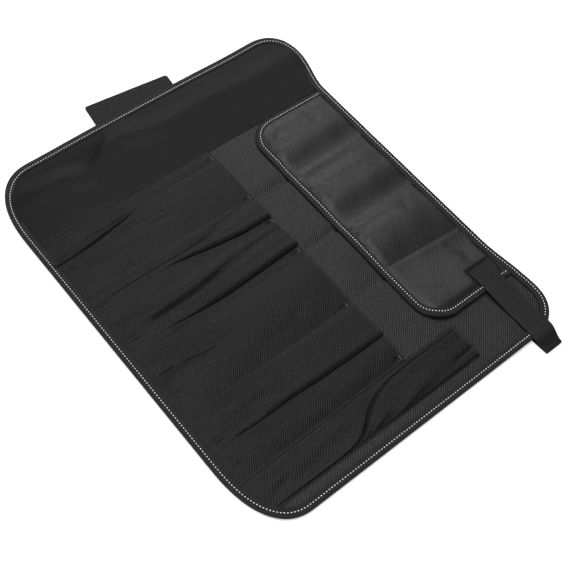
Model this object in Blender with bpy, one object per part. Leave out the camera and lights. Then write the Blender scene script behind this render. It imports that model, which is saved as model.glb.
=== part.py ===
"""A tool roll of dark waxed cloth, opened out flat with its inner face up.

The frame is in metres with +Z up. The origin is the middle of the main panel's
underside, on the surface that the roll lies on. +X runs from the blank end, which
wraps outside when the roll is closed, to the strap's end. +Y runs from the bottoms
of the pockets to the edge that the flap is sewn into.

Cloth is drawn as thin walls. Layers that are sewn together in the real roll keep a
small clearance here, so that each stays a solid of its own.
"""

import math

import bpy
import numpy as np

MM = 0.001

# Fit
CLEARANCE = 0.3 * MM
SEAM_CLEARANCE = 0.8 * MM

# Main panel: the outer cloth and the lining, quilted together at the edge
PANEL_WIDTH = 548 * MM
PANEL_DEPTH = 438 * MM
PANEL_WALL = 3.0 * MM
CORNER_SQUARENESS = 2.4

# Edge binding: a 22 mm tape folded over the panel's edge
BINDING_WIDTH = 11.5 * MM
BINDING_WALL = 1.0 * MM

# Wrap facing: the smooth layer on the blank end
FACING_WIDTH = 114 * MM
FACING_WALL = 1.2 * MM
FACING_STEPS = 24
FACING_SHARES = (0.0, 0.02, 0.06, 0.13, 0.25, 0.4, 0.6, 0.8, 1.0)

# Pocket bank: one cloth sewn down in five pockets
CLOTH_WALL = 1.0 * MM
BANK_HEIGHT = 241 * MM
BANK_LEAD = 15.5 * MM
SEAM_WIDTH = 3.0 * MM
POCKET_CROWN = 8.0 * MM
TUCK_DEPTH = 6.0 * MM

# Long pocket beside the bank
LONG_WIDTH = 48.5 * MM
LONG_HEIGHT = 312.5 * MM
LONG_LEAN = 6.0 * MM
LONG_MARGIN = 10.5 * MM
LONG_CROWN = 10.0 * MM

# Flap over the tools' ends
FLAP_DROP = 135 * MM
FLAP_WALL = 1.0 * MM
FLAP_CORNER = 38 * MM
FLAP_STAND = 4.6 * MM
FLAP_WAVE = 3.5 * MM
FLAP_SEAM_RUN = 46 * MM
FLAP_START_MARGIN = 2.5 * MM
FLAP_END_MARGIN = 7.5 * MM
FLAP_BINDING_WIDTH = 12.5 * MM
FLAP_BINDING_WALL = 0.8 * MM

# Webbing strap, folded round past the edge
STRAP_WIDTH = 30.5 * MM
STRAP_WALL = 1.5 * MM
STRAP_LENGTH = 132 * MM
STRAP_OVERHANG = 23 * MM
STRAP_RETURN = 46 * MM
STRAP_FROM_TOP = 34 * MM
STRAP_SAG = 0.8 * MM

# Closure tab of hook and loop tape, sewn behind the blank end
TAB_LENGTH = 118 * MM
TAB_REACH = 28 * MM
TAB_TUCK = 20 * MM
TAB_WALL = 1.4 * MM
TAB_TURN = math.radians(7.3)
TAB_RISE = 5.0 * MM
TAB_CORNER = 5.0 * MM

# How far the roll takes to settle again beside what lifts it, across and along the
# edge, and how much its one curled corner stands up
LIFT_RAMP = 62 * MM
LIFT_RUN = 95 * MM
CORNER_LIFT = 2.0 * MM

# Corners of the panel, counter-clockwise. Run and flare_reach are shares of
# PANEL_WIDTH, rise and flare of PANEL_DEPTH. The binding pulls the two top corners
# out past the straight edge, which is the flare.
CORNERS = (
    # name, side_x, side_y, run, rise, flare, flare_reach
    ("bottom_left", -1, -1, 0.183, 0.148, 0.0, 0.1),
    ("bottom_right", 1, -1, 0.183, 0.137, 0.0, 0.1),
    ("top_right", 1, 1, 0.100, 0.114, 0.016, 0.146),
    ("top_left", -1, 1, 0.093, 0.080, 0.033, 0.131),
)
ARC_STEPS = 8
SIDE_STEPS = {"bottom": 12, "right": 12, "top": 20, "left": 18}

# Rings of the panel inside its binding, as shares of LIFT_RAMP
PANEL_RINGS = (0.07, 0.35, 0.65, 0.95, 1.25)

# Divider seams of the bank, as shares of its width at the hem and at the bottom
DIVIDERS = (
    # name, at_hem, at_bottom
    ("left_end", 0.0, 0.0),
    ("after_pocket_1", 0.206, 0.197),
    ("after_pocket_2", 0.333, 0.318),
    ("after_pocket_3", 0.478, 0.476),
    ("after_pocket_4", 0.739, 0.733),
    ("right_end", 1.0, 1.0),
)

# The pockets between those seams. Folds are shares of the pocket's width, 0 or 1
# where that side has none. Crowns are shares of POCKET_CROWN: strip is the cloth
# between the folds, side is what is left of it by the right seam.
POCKETS = (
    # name, left_hem, left_bottom, right_hem, right_bottom, strip, side
    ("pocket_1", 0.0, 0.0, 1.0, 1.0, 0.95, 0.0),
    ("pocket_2", 0.06, 0.33, 0.82, 0.64, 0.65, 0.0),
    ("pocket_3", 0.20, 0.41, 0.84, 0.80, 0.70, 0.0),
    ("pocket_4", 0.08, 0.09, 1.0, 1.0, 1.0, 0.0),
    ("pocket_5", 0.0, 0.0, 0.59, 0.50, 0.95, 0.25),
)
BANK_STATIONS = (0.0, 0.06, 0.15, 0.3, 0.45, 0.6, 0.75, 0.9, 1.0)
CROWN_RISE = 0.35
ARCH_SHARES = (0.06, 0.2, 0.4, 0.6, 0.8, 0.94)
ARCH_FULLNESS = 0.75
MOST_TUCK_SHARE = 0.35

# A folded tape: how far in its outer and inner corners sit, in wall thicknesses, and
# where its nose and its inner fold begin and end, as shares of the folded thickness
NOSE_REACH = 1.1
NOSE_FROM, NOSE_TO = 0.3, 0.7
FOLD_REACH = 2.0
FOLD_FROM, FOLD_TO = 0.4, 0.6

# The least cosine that a mitred corner is widened for
LEAST_MITRE = 0.6

# The long pocket's ridge: where it runs, as a share of the pocket's width, and how
# high, as a share of LONG_CROWN, at shares of the pocket's height from the bottom
LONG_RIDGE = (
    # at_height, across, high
    (0.0, 0.40, 0.0),
    (0.06, 0.42, 0.30),
    (0.15, 0.38, 0.65),
    (0.27, 0.32, 0.85),
    (0.38, 0.30, 0.80),
    (0.44, 0.55, 0.55),
    (0.50, 0.45, 0.70),
    (0.58, 0.28, 0.90),
    (0.70, 0.24, 1.0),
    (0.85, 0.26, 1.0),
    (1.0, 0.30, 1.0),
)
LONG_SHARES = (0.0, 0.25, 0.6, 1.0)

# Crests of the waves that the flap lies in, as shares of its width and of FLAP_WAVE
CRESTS = (
    # centre, half_width, high
    (0.085, 0.085, 0.95),
    (0.365, 0.075, 0.80),
    (0.575, 0.080, 0.80),
    (0.845, 0.125, 1.0),
)
FLAP_LEVELS = (0.15, 0.24, 0.37, 0.52, 0.70, 0.88)
FLAP_LEG_STEPS = 6
FLAP_ARC_STEPS = 4
FLAP_EDGE_STEPS = 26

# The strap's line over the flap, down towards the lining and over the edge, as
# shares of the stretch between the flap's end and the panel's edge
STRAP_SAG_SHARES = (0.2, 0.4, 0.6, 0.8)
STRAP_BEND_LAYERS = 1.5

# Levels of the layers above the surface that the roll lies on
BORDER_UNDERSIDE = BINDING_WALL + CLEARANCE
BINDING_TOP = PANEL_WALL + CLEARANCE + BINDING_WALL
ON_PANEL = PANEL_WALL + CLEARANCE
FLAP_UNDERSIDE = ON_PANEL + FLAP_BINDING_WALL + CLEARANCE
FLAP_BINDING_TOP = FLAP_UNDERSIDE + FLAP_WALL + CLEARANCE + FLAP_BINDING_WALL

# Places across the roll
LEFT = -PANEL_WIDTH / 2
RIGHT = PANEL_WIDTH / 2
BOTTOM = -PANEL_DEPTH / 2
TOP = PANEL_DEPTH / 2
FACING_EDGE = LEFT + FACING_WIDTH
LONG_RIGHT = RIGHT - BINDING_WIDTH - LONG_MARGIN
LONG_LEFT = LONG_RIGHT - LONG_WIDTH
BANK_LEFT = FACING_EDGE + BANK_LEAD
FLAP_LEFT = FACING_EDGE + FLAP_START_MARGIN
FLAP_RIGHT = LONG_LEFT - FLAP_END_MARGIN
FLAP_FREE = TOP - FLAP_DROP
STRAP_MIDDLE = TOP - STRAP_FROM_TOP
TAB_LIFT = TAB_WALL + CLEARANCE
STRAP_LIFT = STRAP_WALL + CLEARANCE


def smooth(share):
    """0 below 0, 1 above 1 and an even S between them."""
    held = np.clip(share, 0.0, 1.0)
    return held * held * (3 - 2 * held)


def lie(x, y):
    """How far the whole roll is lifted at a place, by the tab and the strap below it and by its curled corner."""
    beside_tab = np.abs(y - TAB_RISE) - (TAB_LENGTH / 2 + TAB_REACH * math.sin(TAB_TURN))
    over_tab = smooth((LEFT + TAB_TUCK + LIFT_RAMP - x) / LIFT_RAMP)
    tab = TAB_LIFT * over_tab * (1 - smooth(beside_tab / LIFT_RUN))
    under_strap = RIGHT + STRAP_OVERHANG - STRAP_RETURN
    over_strap = smooth((x - under_strap + LIFT_RAMP) / LIFT_RAMP)
    below_strap = (STRAP_MIDDLE - STRAP_WIDTH / 2 - y) / LIFT_RAMP
    strap = STRAP_LIFT * over_strap * (1 - smooth(below_strap))
    from_corner = np.hypot(x - LEFT, y - TOP)
    corner = CORNER_LIFT * (1 - smooth(from_corner / LIFT_RUN))
    return tab + strap + corner


def corner_arc(side_x, side_y, run, rise, flare):
    """Points round one corner, from the upright side to the level one."""
    across = run * PANEL_WIDTH
    up = (rise + flare) * PANEL_DEPTH
    centre_x = side_x * (PANEL_WIDTH / 2 - across)
    centre_y = side_y * (PANEL_DEPTH / 2 - rise * PANEL_DEPTH)
    turn = np.linspace(0, math.pi / 2, ARC_STEPS + 1)
    x = centre_x + side_x * across * np.cos(turn) ** (2 / CORNER_SQUARENESS)
    y = centre_y + side_y * up * np.sin(turn).clip(0) ** (2 / CORNER_SQUARENESS)
    return np.column_stack([x, y])


def outline():
    """The panel's edge, counter-clockwise from the left end of the bottom side."""
    rows = {row[0]: row[1:] for row in CORNERS}
    arcs = {name: corner_arc(*row[:5]) for name, row in rows.items()}

    def along(start, end, side):
        shares = np.linspace(0, 1, SIDE_STEPS[side] + 1)[1:-1, None]
        return start + (end - start) * shares

    bottom = along(arcs["bottom_left"][-1], arcs["bottom_right"][-1], "bottom")
    right = along(arcs["bottom_right"][0], arcs["top_right"][0], "right")
    top = along(arcs["top_right"][-1], arcs["top_left"][-1], "top")
    left = along(arcs["top_left"][0], arcs["bottom_left"][0], "left")
    top[:, 1] = TOP
    for name in ("top_right", "top_left"):
        flare, reach = rows[name][4:6]
        from_arc = np.abs(top[:, 0] - arcs[name][-1, 0])
        top[:, 1] += flare * PANEL_DEPTH * (1 - smooth(from_arc / (reach * PANEL_WIDTH)))
    parts = (
        arcs["bottom_left"],
        bottom,
        arcs["bottom_right"][::-1],
        right,
        arcs["top_right"],
        top,
        arcs["top_left"][::-1],
        left,
    )
    return np.concatenate(parts)


def inset_path(points, inset, closed=True):
    """The path moved to its left by inset, which is inwards where it runs counter-clockwise."""
    if closed:
        tangent = np.roll(points, -1, axis=0) - np.roll(points, 1, axis=0)
    else:
        tangent = np.gradient(points, axis=0)
    tangent /= np.linalg.norm(tangent, axis=1)[:, None]
    return points + inset * np.column_stack([-tangent[:, 1], tangent[:, 0]])


EDGE = outline()
INSIDE = inset_path(EDGE, BINDING_WIDTH + CLEARANCE)


def inside_edge(x, side):
    """The y of the binding's inner edge at x, on the bottom side (-1) or the top side (1)."""
    chosen = INSIDE[side * INSIDE[:, 1] > 0]
    x_there, y_there = chosen[:, 0], chosen[:, 1]
    # The upright sides share one x, so the point nearest their corner comes next to it.
    order = np.lexsort((-np.sign(x_there) * side * y_there, x_there))
    return np.interp(x, x_there[order], y_there[order])


def in_space(x, y, height):
    """Points at a height above where the roll lies."""
    x, y, height = np.broadcast_arrays(x, y, height)
    return np.stack([x, y, height + lie(x, y)], axis=-1)


def new_material(name, colour, roughness):
    material = bpy.data.materials.new(name)
    material.use_nodes = True
    shader = material.node_tree.nodes["Principled BSDF"]
    shader.inputs["Base Color"].default_value = (*colour, 1.0)
    shader.inputs["Roughness"].default_value = roughness
    shader.inputs["Metallic"].default_value = 0.0
    return material


def new_object(name, points, faces, material):
    """A closed body from points and faces, with its faces turned outwards."""
    mesh = bpy.data.meshes.new(name)
    mesh.from_pydata([tuple(point) for point in points], [], faces)
    volume = 0.0
    for face in faces:
        first = points[face[0]]
        for second, third in zip(face[1:-1], face[2:]):
            volume += np.dot(first, np.cross(points[second], points[third]))
    if volume < 0:
        mesh.flip_normals()
    mesh.validate()
    mesh.shade_smooth()
    mesh.set_sharp_from_angle(angle=math.radians(40))
    mesh.materials.append(material)
    made = bpy.data.objects.new(name, mesh)
    bpy.context.scene.collection.objects.link(made)
    return made


def quads_between(first, second):
    """Quads that join two rows of point numbers."""
    pairs = zip(first[:-1], first[1:], second[1:], second[:-1])
    return [tuple(int(number) for number in quad) for quad in pairs]


def cloth(name, upper, lower, material):
    """A wall between two grids of points of one shape, closed along its four edges."""
    rows, columns = upper.shape[:2]
    above = np.arange(rows * columns).reshape(rows, columns)
    below = above + rows * columns
    faces = []
    for row in range(rows - 1):
        faces += quads_between(above[row], above[row + 1])
        faces += quads_between(below[row + 1], below[row])
    faces += quads_between(below[0], above[0])
    faces += quads_between(above[-1], below[-1])
    faces += quads_between(above[:, 0], below[:, 0])
    faces += quads_between(below[:, -1], above[:, -1])
    points = np.concatenate([upper.reshape(-1, 3), lower.reshape(-1, 3)])
    return new_object(name, points, faces, material)


def swept(name, sections, material, closed):
    """A body whose section is a ring of points, one ring for each station."""
    stations, around = sections.shape[:2]
    numbers = np.arange(stations * around).reshape(stations, around)
    rings = np.column_stack([numbers, numbers[:, :1]])
    faces = []
    for station in range(stations if closed else stations - 1):
        faces += quads_between(rings[station], rings[(station + 1) % stations])
    if not closed:
        half = around // 2
        for ring, turned in ((numbers[0], 1), (numbers[-1], -1)):
            ends = quads_between(ring[:half], ring[half:][::-1])
            faces += [quad[::-turned] for quad in ends]
    return new_object(name, sections.reshape(-1, 3), faces, material)


def wrap_section(width, wall, core):
    """A tape folded round an edge, as rows of inset and height: its outer face, then its inner face back."""
    total = core + 2 * (wall + CLEARANCE)
    nose = NOSE_REACH * wall
    turn = FOLD_REACH * wall
    outer = (
        (width, total),
        (nose, total),
        (0.0, NOSE_TO * total),
        (0.0, NOSE_FROM * total),
        (nose, 0.0),
        (width, 0.0),
    )
    inner = (
        (width, wall),
        (turn, wall),
        (wall, FOLD_FROM * total),
        (wall, FOLD_TO * total),
        (turn, total - wall),
        (width, total - wall),
    )
    return np.array(outer + inner)


def make_main_panel(material):
    """The two layers of cloth that carry the rest, thinner where the binding holds them."""
    held = inset_path(EDGE, 2 * BINDING_WALL + CLEARANCE)
    rings = [(held, BORDER_UNDERSIDE), (INSIDE, BORDER_UNDERSIDE)]
    room = np.array([PANEL_WIDTH / 2 - BINDING_WIDTH, PANEL_DEPTH / 2 - BINDING_WIDTH])
    for share in PANEL_RINGS:
        rings.append((INSIDE * (1 - share * LIFT_RAMP / room), 0.0))
    around = len(EDGE)
    upper = [in_space(ring[:, 0], ring[:, 1], PANEL_WALL) for ring, _ in rings]
    lower = [in_space(ring[:, 0], ring[:, 1], under) for ring, under in rings]
    above = np.arange(len(rings) * around).reshape(len(rings), around)
    below = above + len(rings) * around
    above = np.column_stack([above, above[:, :1]])
    below = np.column_stack([below, below[:, :1]])
    faces = quads_between(below[0], above[0])
    for row in range(len(rings) - 1):
        faces += quads_between(above[row], above[row + 1])
        faces += quads_between(below[row + 1], below[row])
    faces.append(tuple(int(number) for number in above[-1, :-1]))
    faces.append(tuple(int(number) for number in below[-1, :-1][::-1]))
    return new_object("main_panel", np.concatenate(upper + lower), faces, material)


def make_edge_binding(material):
    """The tape folded over the panel's edge all the way round."""
    core = PANEL_WALL - BORDER_UNDERSIDE
    sections = []
    for inset, height in wrap_section(BINDING_WIDTH, BINDING_WALL, core):
        path = inset_path(EDGE, inset)
        sections.append(in_space(path[:, 0], path[:, 1], height))
    return swept("edge_binding", np.stack(sections, axis=1), material, closed=True)


def make_wrap_facing(material):
    """The smooth layer over the blank end, hemmed where the pockets begin."""
    start = LEFT + BINDING_WIDTH + CLEARANCE
    across = start + (FACING_EDGE - start) * np.array(FACING_SHARES)
    up = np.linspace(0, 1, FACING_STEPS + 1)
    x, share = np.meshgrid(across, up)
    low = inside_edge(x, -1) + CLEARANCE
    high = inside_edge(x, 1) - CLEARANCE
    y = low + (high - low) * share
    upper = in_space(x, y, ON_PANEL + FACING_WALL)
    lower = in_space(x, y, ON_PANEL)
    return cloth("wrap_facing", upper, lower, material)


def arch(start, end, crown):
    """Points on a crowned line between two points, without its ends."""
    shares = np.array(ARCH_SHARES)
    line = start + (end - start) * shares[:, None]
    line[:, 1] += crown * np.sin(math.pi * shares) ** ARCH_FULLNESS
    return line


def tucked_edge(edge, tuck, side):
    """The cloth from the lining up to the edge of a pleat: in under it, back, and round on top."""
    layer = CLOTH_WALL + CLEARANCE
    turn = layer / 2
    rows = (
        (tuck - turn, 0.0),
        (tuck, 0.5),
        (tuck - turn, 1.0),
        (turn, 1.0),
        (0.0, 1.5),
        (turn, 2.0),
    )
    points = np.array([(edge + side * inward, layer * level) for inward, level in rows])
    return points if side > 0 else points[::-1]


def pocket_line(left, right, folds, strip_share, side_share, puff):
    """The cloth of one pocket between its seams, as x and height above the sewn cloth."""
    first, last = left + SEAM_WIDTH / 2, right - SEAM_WIDTH / 2
    fold_left, fold_right = left + folds[0] * (right - left), left + folds[1] * (right - left)
    strip = (fold_right if folds[1] < 1 else last) - (fold_left if folds[0] > 0 else first)
    tuck = min(TUCK_DEPTH, MOST_TUCK_SHARE * strip)
    start = np.array([[first, 0.0]])
    end = np.array([[last, 0.0]])
    pieces = [start]
    if folds[0] > 0:
        pieces.append(tucked_edge(max(fold_left, first + CLOTH_WALL), tuck, 1))
    raised_from = pieces[-1][-1]
    close = [end]
    if folds[1] < 1:
        close = [tucked_edge(min(fold_right, last - CLOTH_WALL), tuck, -1), end]
        if side_share > 0:
            close.insert(1, arch(close[0][-1], end[0], side_share * puff))
    pieces.append(arch(raised_from, close[0][0], strip_share * puff))
    return np.concatenate(pieces + close)


def thickened(line, wall):
    """The two faces of a wall that follows a line, with its corners mitred."""
    step = np.diff(line, axis=0)
    step /= np.linalg.norm(step, axis=1)[:, None]
    before = np.vstack([step[:1], step])
    after = np.vstack([step, step[-1:]])
    middle = before + after
    middle /= np.linalg.norm(middle, axis=1)[:, None]
    reach = wall / 2 / np.clip((middle * after).sum(axis=1), LEAST_MITRE, 1.0)
    normal = np.column_stack([-middle[:, 1], middle[:, 0]]) * reach[:, None]
    return line + normal, line - normal


def long_left_at(share):
    """The long pocket's left side, which leans in towards the bottom."""
    return LONG_LEFT + LONG_LEAN * (1 - share)


def make_pocket_bank(material):
    """One cloth, sewn down along its dividers and pleated between them."""
    upper, lower = [], []
    for share in BANK_STATIONS:
        bank_right = long_left_at(share) - CLEARANCE
        width = bank_right - BANK_LEFT
        seams = [BANK_LEFT + width * (hem * share + bottom * (1 - share)) for _, hem, bottom in DIVIDERS]
        seams[-1] -= SEAM_WIDTH / 2
        puffed = smooth(share / CROWN_RISE)
        lines = [np.array([[FACING_EDGE + CLEARANCE, 0.0]])]
        for (_, *row), left, right in zip(POCKETS, seams[:-1], seams[1:]):
            left_hem, left_bottom, right_hem, right_bottom, strip, side = row
            folds = (
                left_hem * share + left_bottom * (1 - share),
                right_hem * share + right_bottom * (1 - share),
            )
            lines.append(pocket_line(left, right, folds, strip, side, POCKET_CROWN * puffed))
        lines.append(np.array([[bank_right, 0.0]]))
        faces = thickened(np.concatenate(lines), CLOTH_WALL)
        for face, rows in zip(faces, (upper, lower)):
            low = inside_edge(face[:, 0], -1) + CLEARANCE
            high = BOTTOM + BINDING_WIDTH + BANK_HEIGHT
            y = low + (high - low) * share
            rows.append(in_space(face[:, 0], y, ON_PANEL + CLOTH_WALL / 2 + face[:, 1]))
    return cloth("pocket_bank", np.array(upper), np.array(lower), material)


def make_long_pocket(material):
    """The tall pocket by the strap's end, whose ridge swings across it half way up."""
    upper, lower = [], []
    for share, across, high in LONG_RIDGE:
        left = long_left_at(share)
        first, last = left + SEAM_WIDTH, LONG_RIGHT - SEAM_WIDTH
        ridge = first + across * (last - first)
        rise = LONG_CROWN * high
        line = [(left, 0.0), (first, 0.0)]
        for start, end, up in ((first, ridge, True), (ridge, last, False)):
            for part in LONG_SHARES[1:-1] + ((1.0,) if up else ()):
                height = math.sin(part * math.pi / 2) if up else math.cos(part * math.pi / 2)
                line.append((start + part * (end - start), rise * height))
        line += [(last, 0.0), (LONG_RIGHT, 0.0)]
        faces = thickened(np.array(line), CLOTH_WALL)
        for face, rows in zip(faces, (upper, lower)):
            low = inside_edge(face[:, 0], -1) + CLEARANCE
            top = BOTTOM + BINDING_WIDTH + LONG_HEIGHT
            y = low + (top - low) * share
            rows.append(in_space(face[:, 0], y, ON_PANEL + CLOTH_WALL / 2 + face[:, 1]))
    return cloth("long_pocket", np.array(upper), np.array(lower), material)


def flap_height(x, y):
    """How far the flap stands off the lining, rising from its seam, or from the strap that holds its end down."""
    across = (x - FLAP_LEFT) / (FLAP_RIGHT - FLAP_LEFT)
    height = FLAP_STAND + np.zeros_like(across)
    for centre, half_width, high in CRESTS:
        off = np.clip(np.abs(across - centre) / half_width, 0, 1)
        height = height + high * FLAP_WAVE * np.cos(off * math.pi / 2) ** 2
    strap_end = RIGHT + STRAP_OVERHANG - STRAP_LENGTH
    by_strap = smooth((x - strap_end + FLAP_SEAM_RUN) / FLAP_SEAM_RUN)
    seam = TOP - BINDING_WIDTH
    held_to = seam + by_strap * (STRAP_MIDDLE - STRAP_WIDTH / 2 - seam)
    return height * smooth((held_to - y) / FLAP_SEAM_RUN)


def flap_path(inset):
    """The flap's edge moved inwards: down its left side, along its free edge and up its right side."""
    corner = max(FLAP_CORNER, inset + CLEARANCE)
    radius = corner - inset
    left, right, free = FLAP_LEFT + inset, FLAP_RIGHT - inset, FLAP_FREE + inset
    legs = np.linspace(0, 1, FLAP_LEG_STEPS + 1)[:-1]
    turn = np.linspace(0, math.pi / 2, FLAP_ARC_STEPS + 1)
    points = []
    top = inside_edge(left, 1) - SEAM_CLEARANCE
    points += [(left, top + (FLAP_FREE + corner - top) * share) for share in legs]
    for angle in turn:
        points.append((left + radius * (1 - math.cos(angle)), FLAP_FREE + corner - radius * math.sin(angle)))
    along = np.linspace(left + radius, right - radius, FLAP_EDGE_STEPS + 1)[1:-1]
    points += [(x, free) for x in along]
    for angle in turn[::-1]:
        points.append((right - radius * (1 - math.cos(angle)), FLAP_FREE + corner - radius * math.sin(angle)))
    top = inside_edge(right, 1) - SEAM_CLEARANCE
    points += [(right, top + (FLAP_FREE + corner - top) * share) for share in legs[::-1]]
    return np.array(points)


def make_flap(material):
    """The flap sewn into the top binding, lying in soft waves over the lining."""
    insets = [2 * FLAP_BINDING_WALL + CLEARANCE, FLAP_BINDING_WIDTH + CLEARANCE]
    insets += [share * FLAP_DROP for share in FLAP_LEVELS]
    paths = np.array([flap_path(inset) for inset in insets])
    waved = FLAP_UNDERSIDE + flap_height(paths[..., 0], paths[..., 1])
    lower = in_space(paths[..., 0], paths[..., 1], waved)
    upper = in_space(paths[..., 0], paths[..., 1], waved + FLAP_WALL)
    levels, around = paths.shape[:2]
    above = np.arange(levels * around).reshape(levels, around)
    below = above + levels * around
    faces = quads_between(below[0], above[0])
    for row in range(levels - 1):
        faces += quads_between(above[row], above[row + 1])
        faces += quads_between(below[row + 1], below[row])
    faces += quads_between(above[:, 0], below[:, 0])
    faces += quads_between(below[:, -1], above[:, -1])
    faces.append(tuple(int(number) for number in above[-1]))
    faces.append(tuple(int(number) for number in below[-1][::-1]))
    seam = (above[-1, 0], above[-1, -1], below[-1, -1], below[-1, 0])
    faces.append(tuple(int(number) for number in seam))
    points = np.concatenate([upper.reshape(-1, 3), lower.reshape(-1, 3)])
    return new_object("flap", points, faces, material)


def make_flap_binding(material):
    """The tape folded over the flap's three free sides."""
    sections = []
    foot = FLAP_UNDERSIDE - CLEARANCE - FLAP_BINDING_WALL
    for inset, height in wrap_section(FLAP_BINDING_WIDTH, FLAP_BINDING_WALL, FLAP_WALL):
        path = flap_path(inset)
        waved = foot + height + flap_height(path[:, 0], path[:, 1])
        sections.append(in_space(path[:, 0], path[:, 1], waved))
    return swept("flap_binding", np.stack(sections, axis=1), material, closed=False)


def make_strap(material):
    """Webbing laid over the flap's end, out past the edge, folded round and back under the panel."""
    low, high = STRAP_MIDDLE - STRAP_WIDTH / 2, STRAP_MIDDLE + STRAP_WIDTH / 2
    fold = RIGHT + STRAP_OVERHANG
    end = fold - STRAP_LENGTH
    half = STRAP_WALL / 2
    on_flap = FLAP_BINDING_TOP + CLEARANCE + half + float(lie(FLAP_RIGHT, STRAP_MIDDLE))
    on_edge = BINDING_TOP + CLEARANCE + half + float(lie(RIGHT, STRAP_MIDDLE))
    edge_start = RIGHT - BINDING_WIDTH
    line = [(end, on_flap), ((end + FLAP_RIGHT) / 2, on_flap), (FLAP_RIGHT + STRAP_WALL, on_flap)]
    for share in STRAP_SAG_SHARES:
        x = FLAP_RIGHT + share * (edge_start - FLAP_RIGHT)
        level = on_flap + share * (on_edge - on_flap)
        line.append((x, level - STRAP_SAG * math.sin(math.pi * share)))
    layer = STRAP_WALL + CLEARANCE
    line += [
        (edge_start, on_edge),
        (RIGHT - STRAP_WALL, on_edge),
        (RIGHT + STRAP_WALL, on_edge - half),
        (fold - STRAP_OVERHANG / 2, half + STRAP_BEND_LAYERS * layer),
        (fold - layer, half + layer),
        (fold - half, half + layer / 2),
        (fold - layer, half),
        (fold - STRAP_RETURN / 2, half),
        (fold - STRAP_RETURN, half),
    ]
    faces = thickened(np.array(line), STRAP_WALL)
    grids = []
    for face in faces:
        rows = [np.column_stack([face[:, 0], np.full(len(face), y), face[:, 1]]) for y in (low, high)]
        grids.append(np.array(rows))
    return cloth("strap", grids[0], grids[1], material)


def make_closure_tab(material):
    """The fastening tab, tucked under the blank end and lying a little askew."""
    depth = TAB_REACH + TAB_TUCK
    corners = []
    turns = np.linspace(0, math.pi / 2, 4)
    for side in (-1, 1):
        centre_x = -depth / 2 + TAB_CORNER
        centre_y = side * (TAB_LENGTH / 2 - TAB_CORNER)
        arc_x = centre_x - TAB_CORNER * np.cos(turns)
        arc_y = centre_y + side * TAB_CORNER * np.sin(turns)
        arc = list(zip(arc_x, arc_y))
        corners += arc[::-1] if side < 0 else arc
    corners += [(depth / 2, TAB_LENGTH / 2), (depth / 2, -TAB_LENGTH / 2)]
    points = np.array(corners)
    cosine, sine = math.cos(TAB_TURN), math.sin(TAB_TURN)
    middle_x = LEFT + TAB_TUCK - depth / 2
    turned_x = middle_x + points[:, 0] * cosine + points[:, 1] * sine
    turned_y = TAB_RISE - points[:, 0] * sine + points[:, 1] * cosine
    count = len(points)
    flat = [np.column_stack([turned_x, turned_y, np.full(count, level)]) for level in (0.0, TAB_WALL)]
    faces = [tuple(range(count))[::-1], tuple(range(count, 2 * count))]
    faces += [(i, (i + 1) % count, count + (i + 1) % count, count + i) for i in range(count)]
    return new_object("closure_tab", np.concatenate(flat), faces, material)


def clear_scene():
    for item in list(bpy.data.objects):
        bpy.data.objects.remove(item)


def main():
    clear_scene()
    canvas = new_material("waxed_canvas", (0.021, 0.021, 0.022), 0.75)
    satin = new_material("satin_weave", (0.026, 0.026, 0.027), 0.5)
    facing = new_material("coated_cloth", (0.018, 0.018, 0.019), 0.6)
    tape = new_material("binding_tape", (0.023, 0.023, 0.024), 0.8)
    webbing = new_material("ribbed_webbing", (0.019, 0.019, 0.020), 0.8)
    hook_tape = new_material("hook_and_loop", (0.018, 0.018, 0.019), 0.9)
    make_main_panel(canvas)
    make_edge_binding(tape)
    make_wrap_facing(facing)
    make_pocket_bank(canvas)
    make_long_pocket(canvas)
    make_flap(satin)
    make_flap_binding(tape)
    make_strap(webbing)
    make_closure_tab(hook_tape)


main()
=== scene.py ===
# %% [markdown]
# # A tool roll, opened out flat
# The roll is dark woven cloth: a lining quilted to an outer cloth, a row of five pockets and
# a long one sewn on it, a flap over the tools' ends, tape bound round every edge, a webbing
# strap and a tab of hook tape. Its CAD solids give the places and the sizes. This script makes
# each piece of cloth again with the folds, stitches and weave that the solids leave out.

# %% Load the CAD frame
import math

import bpy
import numpy as np
from mathutils import Matrix, Vector


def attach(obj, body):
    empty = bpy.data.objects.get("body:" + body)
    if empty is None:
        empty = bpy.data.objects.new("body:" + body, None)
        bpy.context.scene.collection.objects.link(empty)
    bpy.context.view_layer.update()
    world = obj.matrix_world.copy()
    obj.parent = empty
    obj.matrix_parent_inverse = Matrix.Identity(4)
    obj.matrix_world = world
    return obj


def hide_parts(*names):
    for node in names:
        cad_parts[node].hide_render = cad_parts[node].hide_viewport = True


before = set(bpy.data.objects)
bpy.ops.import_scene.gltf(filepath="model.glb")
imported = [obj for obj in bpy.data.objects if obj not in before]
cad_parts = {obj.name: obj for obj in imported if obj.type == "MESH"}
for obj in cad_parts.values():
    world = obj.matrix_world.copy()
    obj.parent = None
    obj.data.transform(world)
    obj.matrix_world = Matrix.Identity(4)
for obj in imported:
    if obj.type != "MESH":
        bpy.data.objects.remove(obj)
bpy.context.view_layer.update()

print("CAD nodes:", sorted(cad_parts))

# %% [markdown]
# ## The camera
# The photograph was taken from the strap's end, looking down at the open roll from the side of
# the pockets' bottoms. The camera comes first, because every later choice is judged through it.
# Its place was worked out from where the roll's four straight sides meet in the picture.

# %% Camera
MM = 0.001
CAMERA_PLACE = Vector((496.33, -493.38, 1060.91)) * MM
CAMERA_RIGHT = Vector((0.63320, 0.76947, 0.08351))
CAMERA_UP = Vector((-0.68672, 0.50875, 0.51922))
CAMERA_LENS = 67.2615
SENSOR = 36.0

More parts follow.
